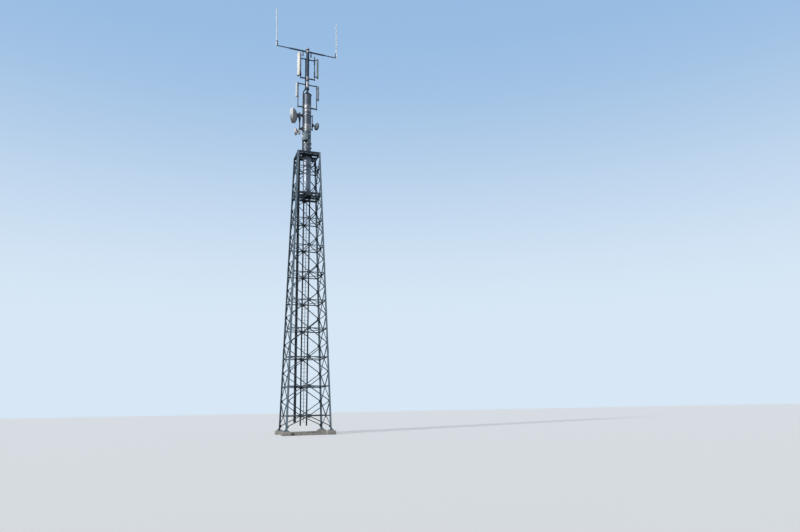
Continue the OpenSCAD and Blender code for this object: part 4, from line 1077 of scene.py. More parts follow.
def radio_piece(name, place, pole_r, bolts):
    """Radio unit on a lip of the dish's lower clamp: ribbed die casting, lid and sockets."""
    w, t, h, low, lip_z = 0.17, 0.11, 0.32, -0.26, -0.11
    ribs, rib_pitch = 11, 0.014
    m = place @ shift(0, pole_r + 0.016 + t / 2, low + h / 2)
    body = Shell()
    body.block((w, t - 0.028, h), m @ shift(0, -0.014, 0), 0.008)
    body.block((w - 0.012, 0.012, h - 0.03), m @ shift(0, t / 2 - 0.032, 0), 0.004)
    for i in range(ribs):
        body.block((0.004, 0.034, h - 0.04),
                   m @ shift(-0.07 + rib_pitch * i, t / 2 - 0.019, 0), 0.001)
    for z in (-h / 2 + 0.016, h / 2 - 0.016):
        body.block((w - 0.02, 0.03, 0.006), m @ shift(0, t / 2 - 0.02, z), 0.002)
    body.piece(name, "radio_case", "dish_shell")
    holder = Shell()
    holder.block((w / 2, 0.018, CLAMP_H), place @ shift(0, pole_r + 0.0096, lip_z), 0.002)
    for x in (-0.028, 0.028):
        bolts.sideways(place, (x, pole_r + 0.004, lip_z), -1, 0.4)
    holder.piece(name + "_lip", "clamp_steel", "clamp_steel")
    sockets = Shell()
    for x in (-0.05, 0.0, 0.05):
        socket(sockets, m @ shift(x, -0.014, -h / 2), -0.026, -0.022, -0.010, 0.004, 16)
    sockets.piece(name + "_sockets", "bright_metal", "dish_shell")


def clamp_ears(bolts):
    """Two ears with a bolt on either side of each round clamp."""
    ears = Shell()
    for m, r in clamp_places():
        outer = r + CLAMP_T
        for side in (-1, 1):
            for x in (-0.012, 0.012):
                ears.block((0.012, 0.042, CLAMP_H * 0.86), m @ shift(x, side * (outer + 0.014), 0),
                           0.002)
            bolts.through(m, (0.018, side * (outer + 0.018), 0), (1, 0, 0), 0.036, 0.6)
    ears.piece("clamp_ears", "clamp_steel", "clamp_steel")


def arm_sleeves(bolts):
    """Sleeves on the antenna arms, thicker on the low arms, each with a flange and a collar."""
    sleeves, r = Shell(), ARM_TUBE_R
    for tube, reach, z, wall in ((POLE_R, UPPER_REACH, UPPER_ARM_Z, 0.014),
                                 (POLE_R, UPPER_REACH, UPPER_ARM_LOW_Z, 0.026),
                                 (POLE_R, LOWER_REACH, LOWER_ARM_Z, 0.014),
                                 (MAST_R, LOWER_REACH, LOWER_ARM_LOW_Z, 0.026)):
        start, stop = tube + BAND_T + 0.008, reach - TUBE_R - CLAMP_T - 0.03
        profile = [(r + 0.0005, start), (r + 0.034, start), (r + 0.034, start + 0.012),
                   (r + wall, start + 0.016), (r + wall, stop - 0.1), (r + 0.014, stop - 0.07),
                   (r + 0.014, stop - 0.06), (r + 0.022, stop - 0.056), (r + 0.022, stop - 0.012),
                   (r + 0.014, stop - 0.008), (r + 0.014, stop), (r + 0.0005, stop)]
        for turn in (math.pi, 0):
            m = arm_matrix(0, 0, z, turn) @ ALONG_X
            sleeves.lathe(profile, m, 28, closed=True)
            for angle in (-1, 1):
                x, y = math.sin(angle), -math.cos(angle)
                bolts.one(m @ shift(0, 0, stop - 0.034), ((r + 0.021) * x, (r + 0.021) * y, 0),
                          (x, y, 0), 0.5)
    sleeves.piece("arm_sleeves", "clamp_steel", "clamp_steel")


def outrigger_plates(bolts):
    """Cheeks and a foot plate on the two outriggers of the left dish pole."""
    plates = Shell()
    cheek = [(0.0, -0.15), (0.05, -0.16), (0.215, -0.075), (0.225, -0.05), (0.225, 0.05),
             (0.215, 0.075), (0.05, 0.16), (0.0, 0.15)]
    for z in DISH_COLLARS:
        m = turn_z(LEFT_DISH_TURN) @ shift(MAST_R + BAND_T, 0, z)
        for side in (-1, 1):
            y = side * 0.036
            plates.plate(cheek, 0.008, m @ shift(0, y, 0))
            for x, dz in ((0.05, 0.1), (0.05, -0.1), (0.18, 0.0)):
                bolts.sideways(m, (x, y + side * 0.004, dz), side, 0.7, nut=side > 0)
        plates.block((0.012, 0.17, 0.44), m @ shift(0.004, 0, 0), 0.003)
    plates.piece("outrigger_plates", "clamp_steel", "clamp_steel")


def pole_caps():
    """Rubber caps in both ends of the antenna and dish poles."""
    caps = Shell()
    for name in ("upper_pole_left", "upper_pole_right", "lower_pole_left", "lower_pole_right",
                 "dish_pole_left", "dish_pole_right"):
        low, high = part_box(name)
        middle, r = (low + high) / 2, (high.x - low.x) / 2
        for z, way in ((high.z, 1), (low.z, -1)):
            caps.lathe([(0, -0.02 * way), (r - 0.0045, -0.02 * way), (r - 0.0045, 0),
                        (r + 0.0015, 0), (r + 0.0015, 0.003 * way), (r - 0.006, 0.008 * way),
                        (0, 0.009 * way)], shift(middle.x, middle.y, z), 28)
    caps.piece("pole_caps", "black_rubber", "cable_sheath")


def pole_couplings():
    """The two couplings on the upper right pole, thicker at their ends."""
    couplings = Shell()
    bore, body, lip = TUBE_R + 0.0005, TUBE_R + 0.018, TUBE_R + 0.024
    for z, high in ((UPPER_ARM_LOW_Z + 0.30, 0.42), (UPPER_ARM_Z - 0.32, 0.2)):
        couplings.lathe([(bore, 0), (lip, 0.004), (lip, 0.03), (body, 0.036), (body, high - 0.036),
                         (lip, high - 0.03), (lip, high - 0.004), (bore, high)],
                        arm_matrix(UPPER_REACH, 0, z), 32, closed=True)
    couplings.piece("pole_couplings", "pole_steel", "pole_steel")


def mast_straps():
    """Bright straps over the bands, beside them, and loose on the mast."""
    straps, proud, beside = Shell(), 0.0004, 0.047
    for radius, z, _ in mast_bands():
        if z != UPPER_ARM_Z:
            strap(straps, radius + BAND_T + proud, z, 0.066)
    for z in LOOSE_STRAPS:
        strap(straps, MAST_R + proud, z, 0.12)
    for z, high in ((ARM_Z - 0.145, 0.13), (ARM_Z + 0.12, 0.08)):
        strap(straps, POLE_R + proud, z, high)
    for radius, z, reach in ((POLE_R, UPPER_ARM_LOW_Z, 0.13), (POLE_R, LOWER_ARM_Z, 0.25),
                             (MAST_R, LOWER_ARM_LOW_Z, 0.12), (MAST_R, DISH_COLLARS[1], 0.13)):
        for side in (-1, 1):
            strap(straps, radius + proud, z + side * (beside + reach) / 2, reach - beside)
    straps.piece("mast_straps", "strap_steel", "clamp_steel")


def crossarm_hoops(bolts):
    """Hoops round the upper tube with lugs and nuts, and hoops round the crossarm."""
    hoops, m = Shell(), arm_matrix(0, 0, ARM_Z)
    about_tube, about_arm = POLE_R + 0.009, 0.079
    for z in (-0.06, 0.06):
        arc = [(*polar(about_tube, math.pi * (1 + i / 16)), z) for i in range(17)]
        hoops.rod([m @ Vector(p) for p in ((-about_tube, 0.12, z), *arc, (about_tube, 0.12, z))],
                  0.009, 10)
        for side in (-1, 1):
            bolts.one(m, (side * about_tube, 0.105, z), (0, 1, 0), 0.9, nut=True)
            hoops.block((0.05, 0.014, 0.05), m @ shift(side * (POLE_R + 0.006), 0.095, z), 0.002)
    for x in (-0.09, 0.09):
        run = [(x, 0.17, -about_arm)]
        for i in range(15):
            y, z = polar(about_arm, -math.pi / 2 + math.pi * i / 14)
            run.append((x, ARM_Y + y, z))
        hoops.rod([m @ Vector(p) for p in (*run, (x, 0.17, about_arm))], 0.008, 10)
    hoops.piece("crossarm_hoops", "bright_metal", "clamp_steel")


def crossarm_ends():
    """Plugs in the crossarm's ends, caps on its posts, and sleeves with plugs on its stubs."""
    ends = Shell()
    for side in (-1, 1):
        tip = arm_matrix(side * ARM_L / 2, ARM_Y, ARM_Z) @ Matrix.Rotation(side * math.pi / 2, 4, "Y")
        ends.lathe([(0, -0.02), (0.0365, -0.02), (0.0365, -0.001), (0.030, 0.0), (0, 0.0)], tip, 28)
        post = arm_matrix(side * (ARM_L / 2 - POST_R), ARM_Y, ARM_Z)
        ends.lathe([(0, POST_TOP - 0.002), (POST_R + 0.002, POST_TOP - 0.002),
                    (POST_R + 0.002, POST_TOP + 0.004), (POST_R - 0.006, POST_TOP + 0.009),
                    (0, POST_TOP + 0.010)], post, 24)
        stub = arm_matrix(side * STUB_X, ARM_Y, ARM_Z)
        ends.lathe([(0.0255, -0.12), (0.044, -0.126), (0.044, -0.27), (0.052, -0.276),
                    (0.052, -0.446), (0.044, -0.462), (0.0255, -0.468)], stub, 24, closed=True)
        ends.lathe([(0, -0.4722), (0.021, -0.4722), (0.018, -0.479), (0, -0.480)], stub, 24)
    ends.piece("crossarm_ends", "crossarm_steel", "pole_steel")


def whip_antenna(name, bolts, side, length, lean):
    """Tapered glass-fibre rod in a ferrule, held in two clamps on the crossarm's end post."""
    m = arm_matrix(side * (ARM_L / 2 + FERRULE_R + WHIP_GAP), ARM_Y, ARM_Z,
                   0.0 if side > 0 else math.pi)
    whip_rod(name, length, m @ shift(0, 0, FERRULE_TOP - 0.02) @ Matrix.Rotation(lean, 4, "Y"))
    whip_ferrule(name, m)
    whip_holder(name, m, bolts)


def whip_rod(name, length, place):
    thick, taper, steps = 0.0385, 0.005, 8
    h = length - (FERRULE_TOP - FERRULE_LOW) + 0.02
    profile = [(0, 0), (0.036, 0), (0.040, 0.03), (0.040, 0.055), (thick, 0.06)]
    profile += [(thick - taper * i / steps, 0.06 + (h - 0.13) * i / steps)
                for i in range(1, steps + 1)]
    profile += [(0.0332, h - 0.066), (0.029, h - 0.034), (0.0225, h - 0.012), (0.014, h - 0.003),
                (0, h - 0.001)]
    rod = Shell()
    rod.lathe(profile, place, 28)
    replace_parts(rod.piece(name, "whip_glassfibre", "radome"), name)


def whip_ferrule(name, m):
    """Alloy ferrule, turned down a little under each clamp, with the cable socket under it."""
    low, top, turned = FERRULE_LOW, FERRULE_TOP, FERRULE_R - 0.003
    profile = [(0, low - 0.034), (0.008, low - 0.034), (0.011, low - 0.03), (0.011, low - 0.012),
               (0.016, low - 0.010), (0.016, low), (0.038, low), (FERRULE_R, low + 0.006)]
    for z in WHIP_CLAMPS:
        profile += [(FERRULE_R, z - 0.02), (turned, z - 0.019), (turned, z + 0.019),
                    (FERRULE_R, z + 0.02)]
    profile += [(FERRULE_R, top - 0.05), (0.042, top - 0.044), (0.042, top - 0.018), (0.037, top),
                (0, top)]
    base = Shell()
    base.lathe(profile, m, 32)
    base.piece(name + "_ferrule", "ferrule_alloy", "radome")


def whip_holder(name, m, bolts):
    """Clamp halves round ferrule and post, with a ring in each and a stop ring on the post."""
    holder = Shell()
    post_x = -FERRULE_R - WHIP_GAP - POST_R
    inner, outer, half = FERRULE_R - 0.0028, FERRULE_R - 0.0004, 0.017
    for z in WHIP_CLAMPS:
        at = m @ shift(0, 0, z)
        for side in (-1, 1):
            holder.block((0.105, 0.05, 0.044), at @ shift(-0.059, side * 0.027, 0), 0.005)
            for x in (post_x - 0.031, post_x + 0.033):
                bolts.sideways(at, (x, side * 0.052, 0), side, 0.42, nut=side > 0)
        holder.lathe([(inner, -half), (outer, -half), (outer, half), (inner, half)], at, 32,
                     closed=True)
        holder.lathe([(POST_R + 0.0006, -0.034), (POST_R + 0.005, -0.032),
                      (POST_R + 0.005, -0.021), (POST_R + 0.0006, -0.021)],
                     at @ shift(post_x, 0, 0), 24, closed=True)
    holder.piece(name + "_holder", "clamp_steel", "clamp_steel")


def length_setting(name, description, default, low):
    return FloatProperty(name=name, description=description, default=default, min=low,
                         unit="LENGTH")


def share_setting(name, description, default):
    return FloatProperty(name=name, description=description, default=default, min=0, max=1,
                         subtype="FACTOR")


def colour_setting(name, description, default):
    return FloatVectorProperty(name=name, description=description, default=default,
                               subtype="COLOR", min=0, max=1)


class FastenerSettings(bpy.types.PropertyGroup):
    """Sizes of an M20 fastener, which the other sizes are scaled from."""
    across_flats: length_setting("Across flats", "Width of the hexagon", 0.030, 0.01)
    head_height: length_setting("Head height", "Height of the bolt head", 0.0125, 0.004)
    nut_height: length_setting("Nut height", "Height of the nut", 0.018, 0.004)
    washer_radius: length_setting("Washer radius", "Outer radius of the washer", 0.0185, 0.01)
    washer_thickness: length_setting("Washer thickness", "Thickness of the washer", 0.003, 0.001)
    thread_radius: length_setting("Thread radius", "Radius of the thread", 0.010, 0.003)
    thread_length: length_setting("Thread length", "Thread that stands past a nut", 0.014, 0.002)


class CableSettings(bpy.types.PropertyGroup):
    """The feeder cables, as the clips hold them."""
    radius: length_setting("Cable radius", "Radius of a feeder cable", 0.014, 0.005)
    pitch: length_setting("Cable pitch", "Distance between two cables", 0.034, 0.02)
    count: IntProperty(name="Cables", description="Number of feeder cables", default=5, min=1)
    strap: length_setting("Strap width", "Width of a clip's strap", 0.024, 0.01)


class GratingSettings(bpy.types.PropertyGroup):
    """The open grating on the head frame."""
    pitch: length_setting("Bar pitch", "Distance between two bars", 0.04, 0.02)
    depth: length_setting("Bar depth", "Height of a bar", 0.022, 0.01)
    thickness: length_setting("Bar thickness", "Thickness of a bar", 0.003, 0.001)
    rod_pitch: length_setting("Rod pitch", "Distance between two cross rods", 0.1, 0.03)
    rod_radius: length_setting("Rod radius", "Radius of a cross rod", 0.0035, 0.001)


class FinishSettings(bpy.types.PropertyGroup):
    """Colours and wear of the finishes."""
    # Bracing and legs are one zinc: the bracing's dark, bluish colour is painted shade, the legs'
    # lighter one painted light.
    lattice: colour_setting("Lattice", "Zinc of the bracing", (0.058, 0.08, 0.10))
    legs: colour_setting("Legs", "Zinc of the four legs", (0.175, 0.235, 0.28))
    # Painted shade: the frames and ladders are painted far darker than their zinc.
    frames: colour_setting("Frames", "Zinc of the frames and ladders", (0.035, 0.047, 0.062))
    # Painted light: the grating is far lighter than the frames' zinc, for the light that comes through
    # it.
    deck: colour_setting("Grating", "Zinc of the grating on the head frame", (0.36, 0.40, 0.44))
    mast: colour_setting("Lower tube", "Zinc of the mast's lower tube", (0.12, 0.133, 0.152))
    # Painted shade: the upper tube is painted darker than the lower tube's zinc.
    upper_tube: colour_setting("Upper tube", "Zinc of the mast's upper tube", (0.034, 0.047, 0.070))
    straps: colour_setting("Straps", "Metal of the straps on the mast", (0.38, 0.375, 0.37))
    clamps: colour_setting("Clamps", "Zinc of bands, arms and clamps", (0.04, 0.05, 0.065))
    poles: colour_setting("Poles", "Zinc of the antenna and dish poles", (0.045, 0.06, 0.085))
    crossarm: colour_setting("Crossarm", "Zinc of the crossarm", (0.10, 0.14, 0.20))
    bolts: colour_setting("Bolts", "Zinc of the fasteners", (0.12, 0.13, 0.14))
    concrete: colour_setting("Concrete", "Concrete of the foundation", (0.42, 0.40, 0.37))
    radome: colour_setting("Left panels", "Cover of the left panel antennas", (0.86, 0.86, 0.84))
    # Painted shade: the right panels' cover is a dark copy of the left panels' off-white.
    shaded_radome: colour_setting("Right panels", "Cover of the right panel antennas", (0.27, 0.30, 0.27))
    whips: colour_setting("Whips", "Glass fibre of the whip antennas", (0.90, 0.92, 0.94))
    dishes: colour_setting("Dishes", "Paint of the two left dishes", (0.82, 0.84, 0.86))
    # Painted shade: the right dish is painted dark where its shaded back shows.
    shaded_dish: colour_setting("Right dish", "Paint of the right dish", (0.12, 0.155, 0.19))
    dish_backs: colour_setting("Dish back", "Spun sheet behind the large dish", (0.58, 0.62, 0.66))
    housing: colour_setting("Housing", "Paint of the housing on the mast", (0.03, 0.08, 0.105))
    sheath: colour_setting("Cables", "Sheath of the feeder cables", (0.018, 0.018, 0.02))
    rust: share_setting("Rust", "Share of rust on the steel", 0.55)
    soil: share_setting("Soil", "Share of dirt run down the steel", 0.5)


class StageSettings(bpy.types.PropertyGroup):
    """Floor, light and camera."""
    floor: colour_setting("Floor", "Colour of the floor", (0.86, 0.88, 0.90))
    backdrop: colour_setting("Backdrop", "Colour behind the lattice", (0.68, 0.80, 0.92))
    backdrop_high: colour_setting("Upper backdrop", "Colour behind the head", (0.31, 0.50, 0.76))
    sky: FloatProperty(name="Soft light", description="Strength of the light from all round",
                       default=0.16, min=0)
    key: FloatProperty(name="Key light", description="Strength of the light from the left",
                       default=2.8, min=0)
    lens: FloatProperty(name="Lens", description="Focal length on a 36 mm sensor", default=28.35,
                        min=10, subtype="DISTANCE_CAMERA")


class TOWER_OT_carried(bpy.types.Operator):
    """Give every solid of the frame its finish"""
    bl_idname = "tower.carried"
    bl_label = "Finish the steelwork"

    def execute(self, context):
        make_finishes(context.scene.tower_finishes)
        slots = {part["node"]: part["material_slot"] for part in frame["record"]["subparts"]}
        own = {"mast_upper_tube": "upper_tube_steel", "crossarm": "crossarm_steel"}
        for name, node in frame["nodes"].items():
            finish = "leg_steel" if name.startswith("leg_") else own.get(name, slots[name])
            for slot in node.material_slots:
                slot.material = FINISH[finish]
        return {"FINISHED"}


class TOWER_OT_lattice(bpy.types.Operator):
    """Bolt up the bracing, the legs and the frames"""
    bl_idname = "tower.lattice"
    bl_label = "Lattice fasteners"

    def execute(self, context):
        for k, side in enumerate(("front", "right", "rear", "left")):
            bracing_bolts(k).piece("bracing_bolts_" + side, context.scene)
        leg_bolts().piece("leg_bolts", context.scene)
        return {"FINISHED"}


class TOWER_OT_deck(bpy.types.Operator):
    """Lay open grating on the head frame, round the mast"""
    bl_idname = "tower.deck"
    bl_label = "Grating on the head frame"

    def execute(self, context):
        g = context.scene.tower_grating
        reach, hole, joint = half_w(HEAD_Z) - 0.07, MAST_R + 0.05, 0.006
        edge, bolts = Shell(), Bolts()
        places, lengths, rods = [], [], []
        for x0, y0, x1, y1 in ((-reach, -reach, reach, -hole - joint),
                               (-reach, hole + joint, reach, reach),
                               (-reach, -hole, -hole, hole), (hole, -hole, reach, hole)):
            middle = Vector(((x0 + x1) / 2, (y0 + y1) / 2, HEAD_Z + SEAT + g.depth / 2))
            w, d = x1 - x0, y1 - y0
            self.edging(edge, bolts, middle, w, d, g)
            count, rows = round(w / g.pitch), round(d / g.rod_pitch)
            for i in range(1, count):
                places.append(middle + Vector((w * (i / count - 0.5), 0, 0)))
                lengths.append(d - g.thickness)
                rods.append(0.0)
            for i in range(rows):
                places.append(middle + Vector((0, d * ((i + 0.5) / rows - 0.5),
                                               g.depth / 2 - g.rod_radius)))
                lengths.append(w - g.thickness)
                rods.append(1.0)
        edge.piece("deck_edges", "deck_steel", "frame_steel")
        bolts.piece("deck_bolts", context.scene)
        # The grating's lighter finish is painted light.
        grow("deck_grating", "frame_steel", grating_tree(), values_of(g, "deck_steel"), places,
             length=lengths, rod=rods)
        return {"FINISHED"}

    def edging(self, edge, bolts, middle, w, d, g):
        """Flat bars round one mat of grating, and a clip with a bolt at each corner."""
        at = shift(*middle)
        clip_t, lift = 0.003, 0.0004
        for side in (-1, 1):
            edge.block((w, g.thickness, g.depth + 0.001),
                       at @ shift(0, side * (d - g.thickness) / 2, lift))
            edge.block((g.thickness, d - 2 * g.thickness, g.depth + 0.001),
                       at @ shift(side * (w - g.thickness) / 2, 0, lift))
            for end in (-1, 1):
                clip = shift(middle.x + side * (w / 2 - 0.02), middle.y + end * (d / 2 - 0.02),
                             HEAD_Z + SEAT + g.depth + clip_t)
                edge.block((0.05, 0.03, clip_t), clip, 0.001)
                bolts.one(clip, (0, 0, clip_t / 2), (0, 0, 1), 0.4)


class TOWER_OT_mast(bpy.types.Operator):
    """Add the flange bolts, the weld beads and the plug of the mast"""
    bl_idname = "tower.mast"
    bl_label = "Mast details"

    def execute(self, context):
        mast_bolts().piece("mast_bolts", context.scene)
        over, under, sunk = 0.002, -0.003, 0.0005
        welds = [(FOOT_Z + FLANGE_T + over, MAST_R), (FOOT_Z + 2.9, MAST_R - sunk),
                 (FOOT_Z + 5.8, MAST_R - sunk), (CAP_Z + under, MAST_R),
                 (CAP_Z + FLANGE_T + over, NECK_R), (POLE_Z + under, NECK_R),
                 (POLE_Z + FLANGE_T + over, POLE_R)]
        grow("mast_welds", "mast_steel", weld_tree(),
             {"Bead radius": 0.005, "Ripples": 90, "Finish": FINISH["mast_steel"]},
             [(0, 0, z) for z, _ in welds], radius=[r for _, r in welds])
        plug, bore = Shell(), POLE_R - 0.0085
        plug.lathe([(0, -0.04), (bore, -0.04), (bore, -0.002), (POLE_R - 0.02, 0.0), (0, 0.004)],
                   shift(0, 0, TOP_Z - 0.004), 48)
        plug.piece("mast_top_plug", "clamp_steel", "clamp_steel")
        return {"FINISHED"}


class TOWER_OT_clamps(bpy.types.Operator):
    """Dress the clamps, arms, outriggers and poles, and strap the mast"""
    bl_idname = "tower.clamps"
    bl_label = "Clamp details"

    def execute(self, context):
        bolts = Bolts()
        clamp_ears(bolts)
        arm_sleeves(bolts)
        outrigger_plates(bolts)
        bolts.piece("clamp_bolts", context.scene)
        pole_caps()
        pole_couplings()
        mast_straps()
        return {"FINISHED"}


class TOWER_OT_crossarm(bpy.types.Operator):
    """Add the crossarm's clamps and make the two whip antennas"""
    bl_idname = "tower.crossarm"
    bl_label = "Crossarm and whips"

    def execute(self, context):
        bolts = Bolts()
        crossarm_hoops(bolts)
        crossarm_ends()
        whip_antenna("whip_left", bolts, side=-1, length=3.43, lean=math.radians(1))
        whip_antenna("whip_right", bolts, side=1, length=3.30, lean=0.0)
        bolts.piece("crossarm_bolts", context.scene)
        return {"FINISHED"}


class TOWER_OT_panels(bpy.types.Operator):
    """Make the four panel antennas with their brackets"""
    bl_idname = "tower.panels"
    bl_label = "Panel antennas"

    def execute(self, context):
        bolts = Bolts()
        low, short = LOWER_ARM_LOW_Z + 0.795, (0.24, 0.11, 1.25)
        for name, side, reach, azimuth, size, back, z, upper_clamp in (
                ("upper_panel_left", -1, UPPER_REACH, 215, (0.31, 0.13, 2.08), 0.13,
                 UPPER_ARM_LOW_Z + 0.09, 0.135),
                ("upper_panel_right", 1, UPPER_REACH, -19, (0.31, 0.13, 1.7), 0.165,
                 UPPER_ARM_LOW_Z + 0.16, 0.046),
                ("lower_panel_left", -1, LOWER_REACH, 175, short, 0.05, low, 0.17),
                ("lower_panel_right", 1, LOWER_REACH, -10, short, 0.05, low, 0.17)):
            panel = PanelAntenna(name, side, reach, azimuth, size, back, z)
            panel.cover()
            panel.brackets(upper_clamp, bolts)
            panel.sockets()
        bolts.piece("panel_bolts", context.scene)
        return {"FINISHED"}


class TOWER_OT_dishes(bpy.types.Operator):
    """Make the three dishes with their mounts"""
    bl_idname = "tower.dishes"
    bl_label = "Dishes"

    def execute(self, context):
        bolts = Bolts()
        high, low = DISH_COLLARS
        left = turn_z(LEFT_DISH_TURN) @ shift(LEFT_DISH_REACH, 0, 0)
        at_large = left @ shift(0, 0, high) @ turn_z(math.radians(158) - LEFT_DISH_TURN)
        at_left = left @ shift(0, 0, low - 0.24) @ turn_z(math.radians(160) - LEFT_DISH_TURN)
        at_right = (shift(RIGHT_DISH_REACH, 0, 0) @ shift(0, 0, low + 0.38)
                    @ turn_z(math.radians(16)))
        large = Dish("dish_large", at_large, LEFT_DISH_POLE_R, d=1.22, stand=0.44, hub=0.06)
        small_left = Dish("dish_small_left", at_left, LEFT_DISH_POLE_R, d=0.6, stand=0.27, hub=0.04)
        small_right = Dish("dish_small_right", at_right, TUBE_R, d=0.6, stand=0.37, hub=0.04)
        large.build(bolts, 12, "dish_shell", "dish_back", "dish_membrane")
        # The small left dish takes the lighter copy of the dish paint, a painted light.
        small_left.build(bolts, 0, "dish_clean", "dish_clean", "dish_clean")
        radio_piece("dish_small_left_radio", at_left, LEFT_DISH_POLE_R, bolts)
        # The right dish takes the dark paint, a painted shade.
        small_right.build(bolts, 0, "dish_grey", "dish_grey", "dish_grey")
        bolts.piece("dish_bolts", context.scene)
        return {"FINISHED"}


class TOWER_OT_housing(bpy.types.Operator):
    """Make the housing that is strapped to the mast"""
    bl_idname = "tower.housing"
    bl_label = "Housing on the mast"

    def execute(self, context):
        m = turn_z(BOX_TURN) @ shift(MAST_R + SEAT + 0.06, 0, BOX_Z)
        self.body(m)
        self.trim(m)
        straps = Shell()
        for z in (0.09, BOX_H - 0.09):
            straps.block((0.055, BOX_W * 0.5, 0.05), m @ shift(-0.03, 0, z), 0.004)
            strap(straps, MAST_R + SEAT, BOX_Z + z, 0.04)
        straps.piece("mast_box_straps", "bright_metal", "clamp_steel")
        glands = Shell()
        for i in range(5):
            socket(glands, m @ shift(BOX_D * 0.5, -0.12 + 0.06 * i, 0),
                   -0.034, -0.028, -0.014, 0.012, 12)
        glands.piece("mast_box_glands", "black_rubber", "box_housing")
        return {"FINISHED"}

    def body(self, m):
        """Case, door and rain lid, with a row of louvres at the top and at the foot of the door."""
        w, d, h = BOX_W, BOX_D, BOX_H
        body = Shell()
        body.block((d - 0.02, w, h - 0.02), m @ shift((d - 0.02) / 2, 0, h / 2), 0.012)
        body.block((0.018, w - 0.014, h - 0.05), m @ shift(d - 0.011, 0, h / 2 - 0.006), 0.006)
        body.block((d, w, 0.012), m @ shift(d / 2, 0, h - 0.006), 0.003)
        for i in range(6):
            for foot in (0.1, h - 0.2):
                body.block((0.006, 0.14, 0.007), m @ shift(d - 0.003, 0.09, foot + 0.02 * i), 0.001)
        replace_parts(body.piece("mast_box", "box_housing", "box_housing"), "mast_box")

    def trim(self, m):
        """Three hinges, and a latch with its lock."""
        w, d, h = BOX_W, BOX_D, BOX_H
        trim = Shell()
        for z in (0.14, h / 2, h - 0.14):
            trim.lathe([(0, -0.03), (0.007, -0.03), (0.007, 0.03), (0, 0.03)],
                       m @ shift(d - 0.015, w / 2 - 0.002, z), 12)
        latch_y = -w / 2 + 0.045
        trim.block((0.014, 0.03, 0.08), m @ shift(d - 0.007, latch_y, h / 2), 0.003)
        trim.lathe([(0, -0.001), (0.009, -0.001), (0.008, 0.002), (0, 0.002)],
                   m @ shift(d - 0.001, latch_y, h / 2) @ ALONG_X, 16)
        trim.piece("mast_box_trim", "bright_metal", "box_housing")


class TOWER_OT_ladders(bpy.types.Operator):
    """Clip the cables to their ladder and bolt both ladders to the rear face"""
    bl_idname = "tower.ladders"
    bl_label = "Ladder details"

    def execute(self, context):
        m, top = face_matrix(2), face_s(HEAD_Z)
        bays = int((top - TRAY_LOW) / TRAY_PITCH)
        self.clips(m, bays, context.scene.tower_cables)
        bolts = Bolts()
        for i in range(LEVELS):
            s = face_s(level_z(i))
            for side in (-1, 1):
                x = LADDER_X + side * LADDER_W / 2
                stop = (PLATE_Y if abs(x) < MID_PLATE_W / 2 else BAR_Y) - SEAT
                for dx in (-0.019, 0.019):
                    bolts.sideways(m, (x + dx, stop - 0.006, s), -1, 0.55)
                bolts.sideways(m, (x, LADDER_Y - 0.02, s + 0.03), -1, 0.55)
        bolts.piece("ladder_bolts", context.scene)
        self.stile_plates(m, top)
        self.cable_sheets(m, bays)
        clamps = Shell()
        for i in range(int((top - RAIL_CLAMP_PITCH) / RAIL_CLAMP_PITCH)):
            clamps.block((0.06, 0.012, 0.03),
                         m @ shift(LADDER_X, LADDER_Y + 0.016, 0.9 + RAIL_CLAMP_PITCH * i), 0.002)
        clamps.piece("rail_clamps", "bolt_zinc", "clamp_steel")
        return {"FINISHED"}

    def clips(self, m, bays, cables):
        """One clip on each crosspiece of the cable ladder, over all its cables."""
        seat = TRAY_Y - 0.015 - cables.radius
        places = [m @ Vector((TRAY_X, seat, TRAY_LOW + 0.115 + TRAY_PITCH * i))
                  for i in range(bays)]
        up, out = (m.to_3x3() @ Vector(way) for way in ((0, 0, 1), (0, -1, 0)))
        grow("cable_clips", "clamp_steel", clip_tree(), values_of(cables, "bright_metal"), places,
             axis=[up] * bays, out=[out] * bays)

    def stile_plates(self, m, top):
        """Plates along the climbing ladder's stiles, between its brackets."""
        plates, gap = Shell(), 0.03
        stops = [LADDER_LOW] + [face_s(level_z(i)) for i in range(LEVELS)] + [top]
        for low, high in zip(stops, stops[1:]):
            for side in (-1, 1):
                at = m @ shift(LADDER_X + side * LADDER_W / 2, LADDER_Y + 0.0235, (low + high) / 2)
                plates.block((0.118, 0.006, high - low - 2 * gap), at, 0.0015)
        plates.piece("ladder_stile_plates", "frame_steel", "frame_steel")

    def cable_sheets(self, m, bays):
        """Folded sheet with cross ribs behind the cables, between the cable ladder's crosspieces."""
        sheets, long = Shell(), TRAY_PITCH - 0.04
        for i in range(bays):
            at = m @ shift(TRAY_X, TRAY_Y - 0.008, TRAY_LOW + 0.115 + TRAY_PITCH * (i + 0.5))
            sheets.block((TRAY_W - 0.012, 0.002, long), at)
            for side in (-1, 1):
                sheets.block((0.002, 0.02, long), at @ shift(side * (TRAY_W / 2 - 0.007), 0.01, 0))
            for k in range(6):
                sheets.block((0.012, 0.003, 0.05), at @ shift(0.0, 0.001, 0.08 * (k - 2.5)), 0.001)
        sheets.piece("cable_ladder_sheets", "frame_steel", "frame_steel")


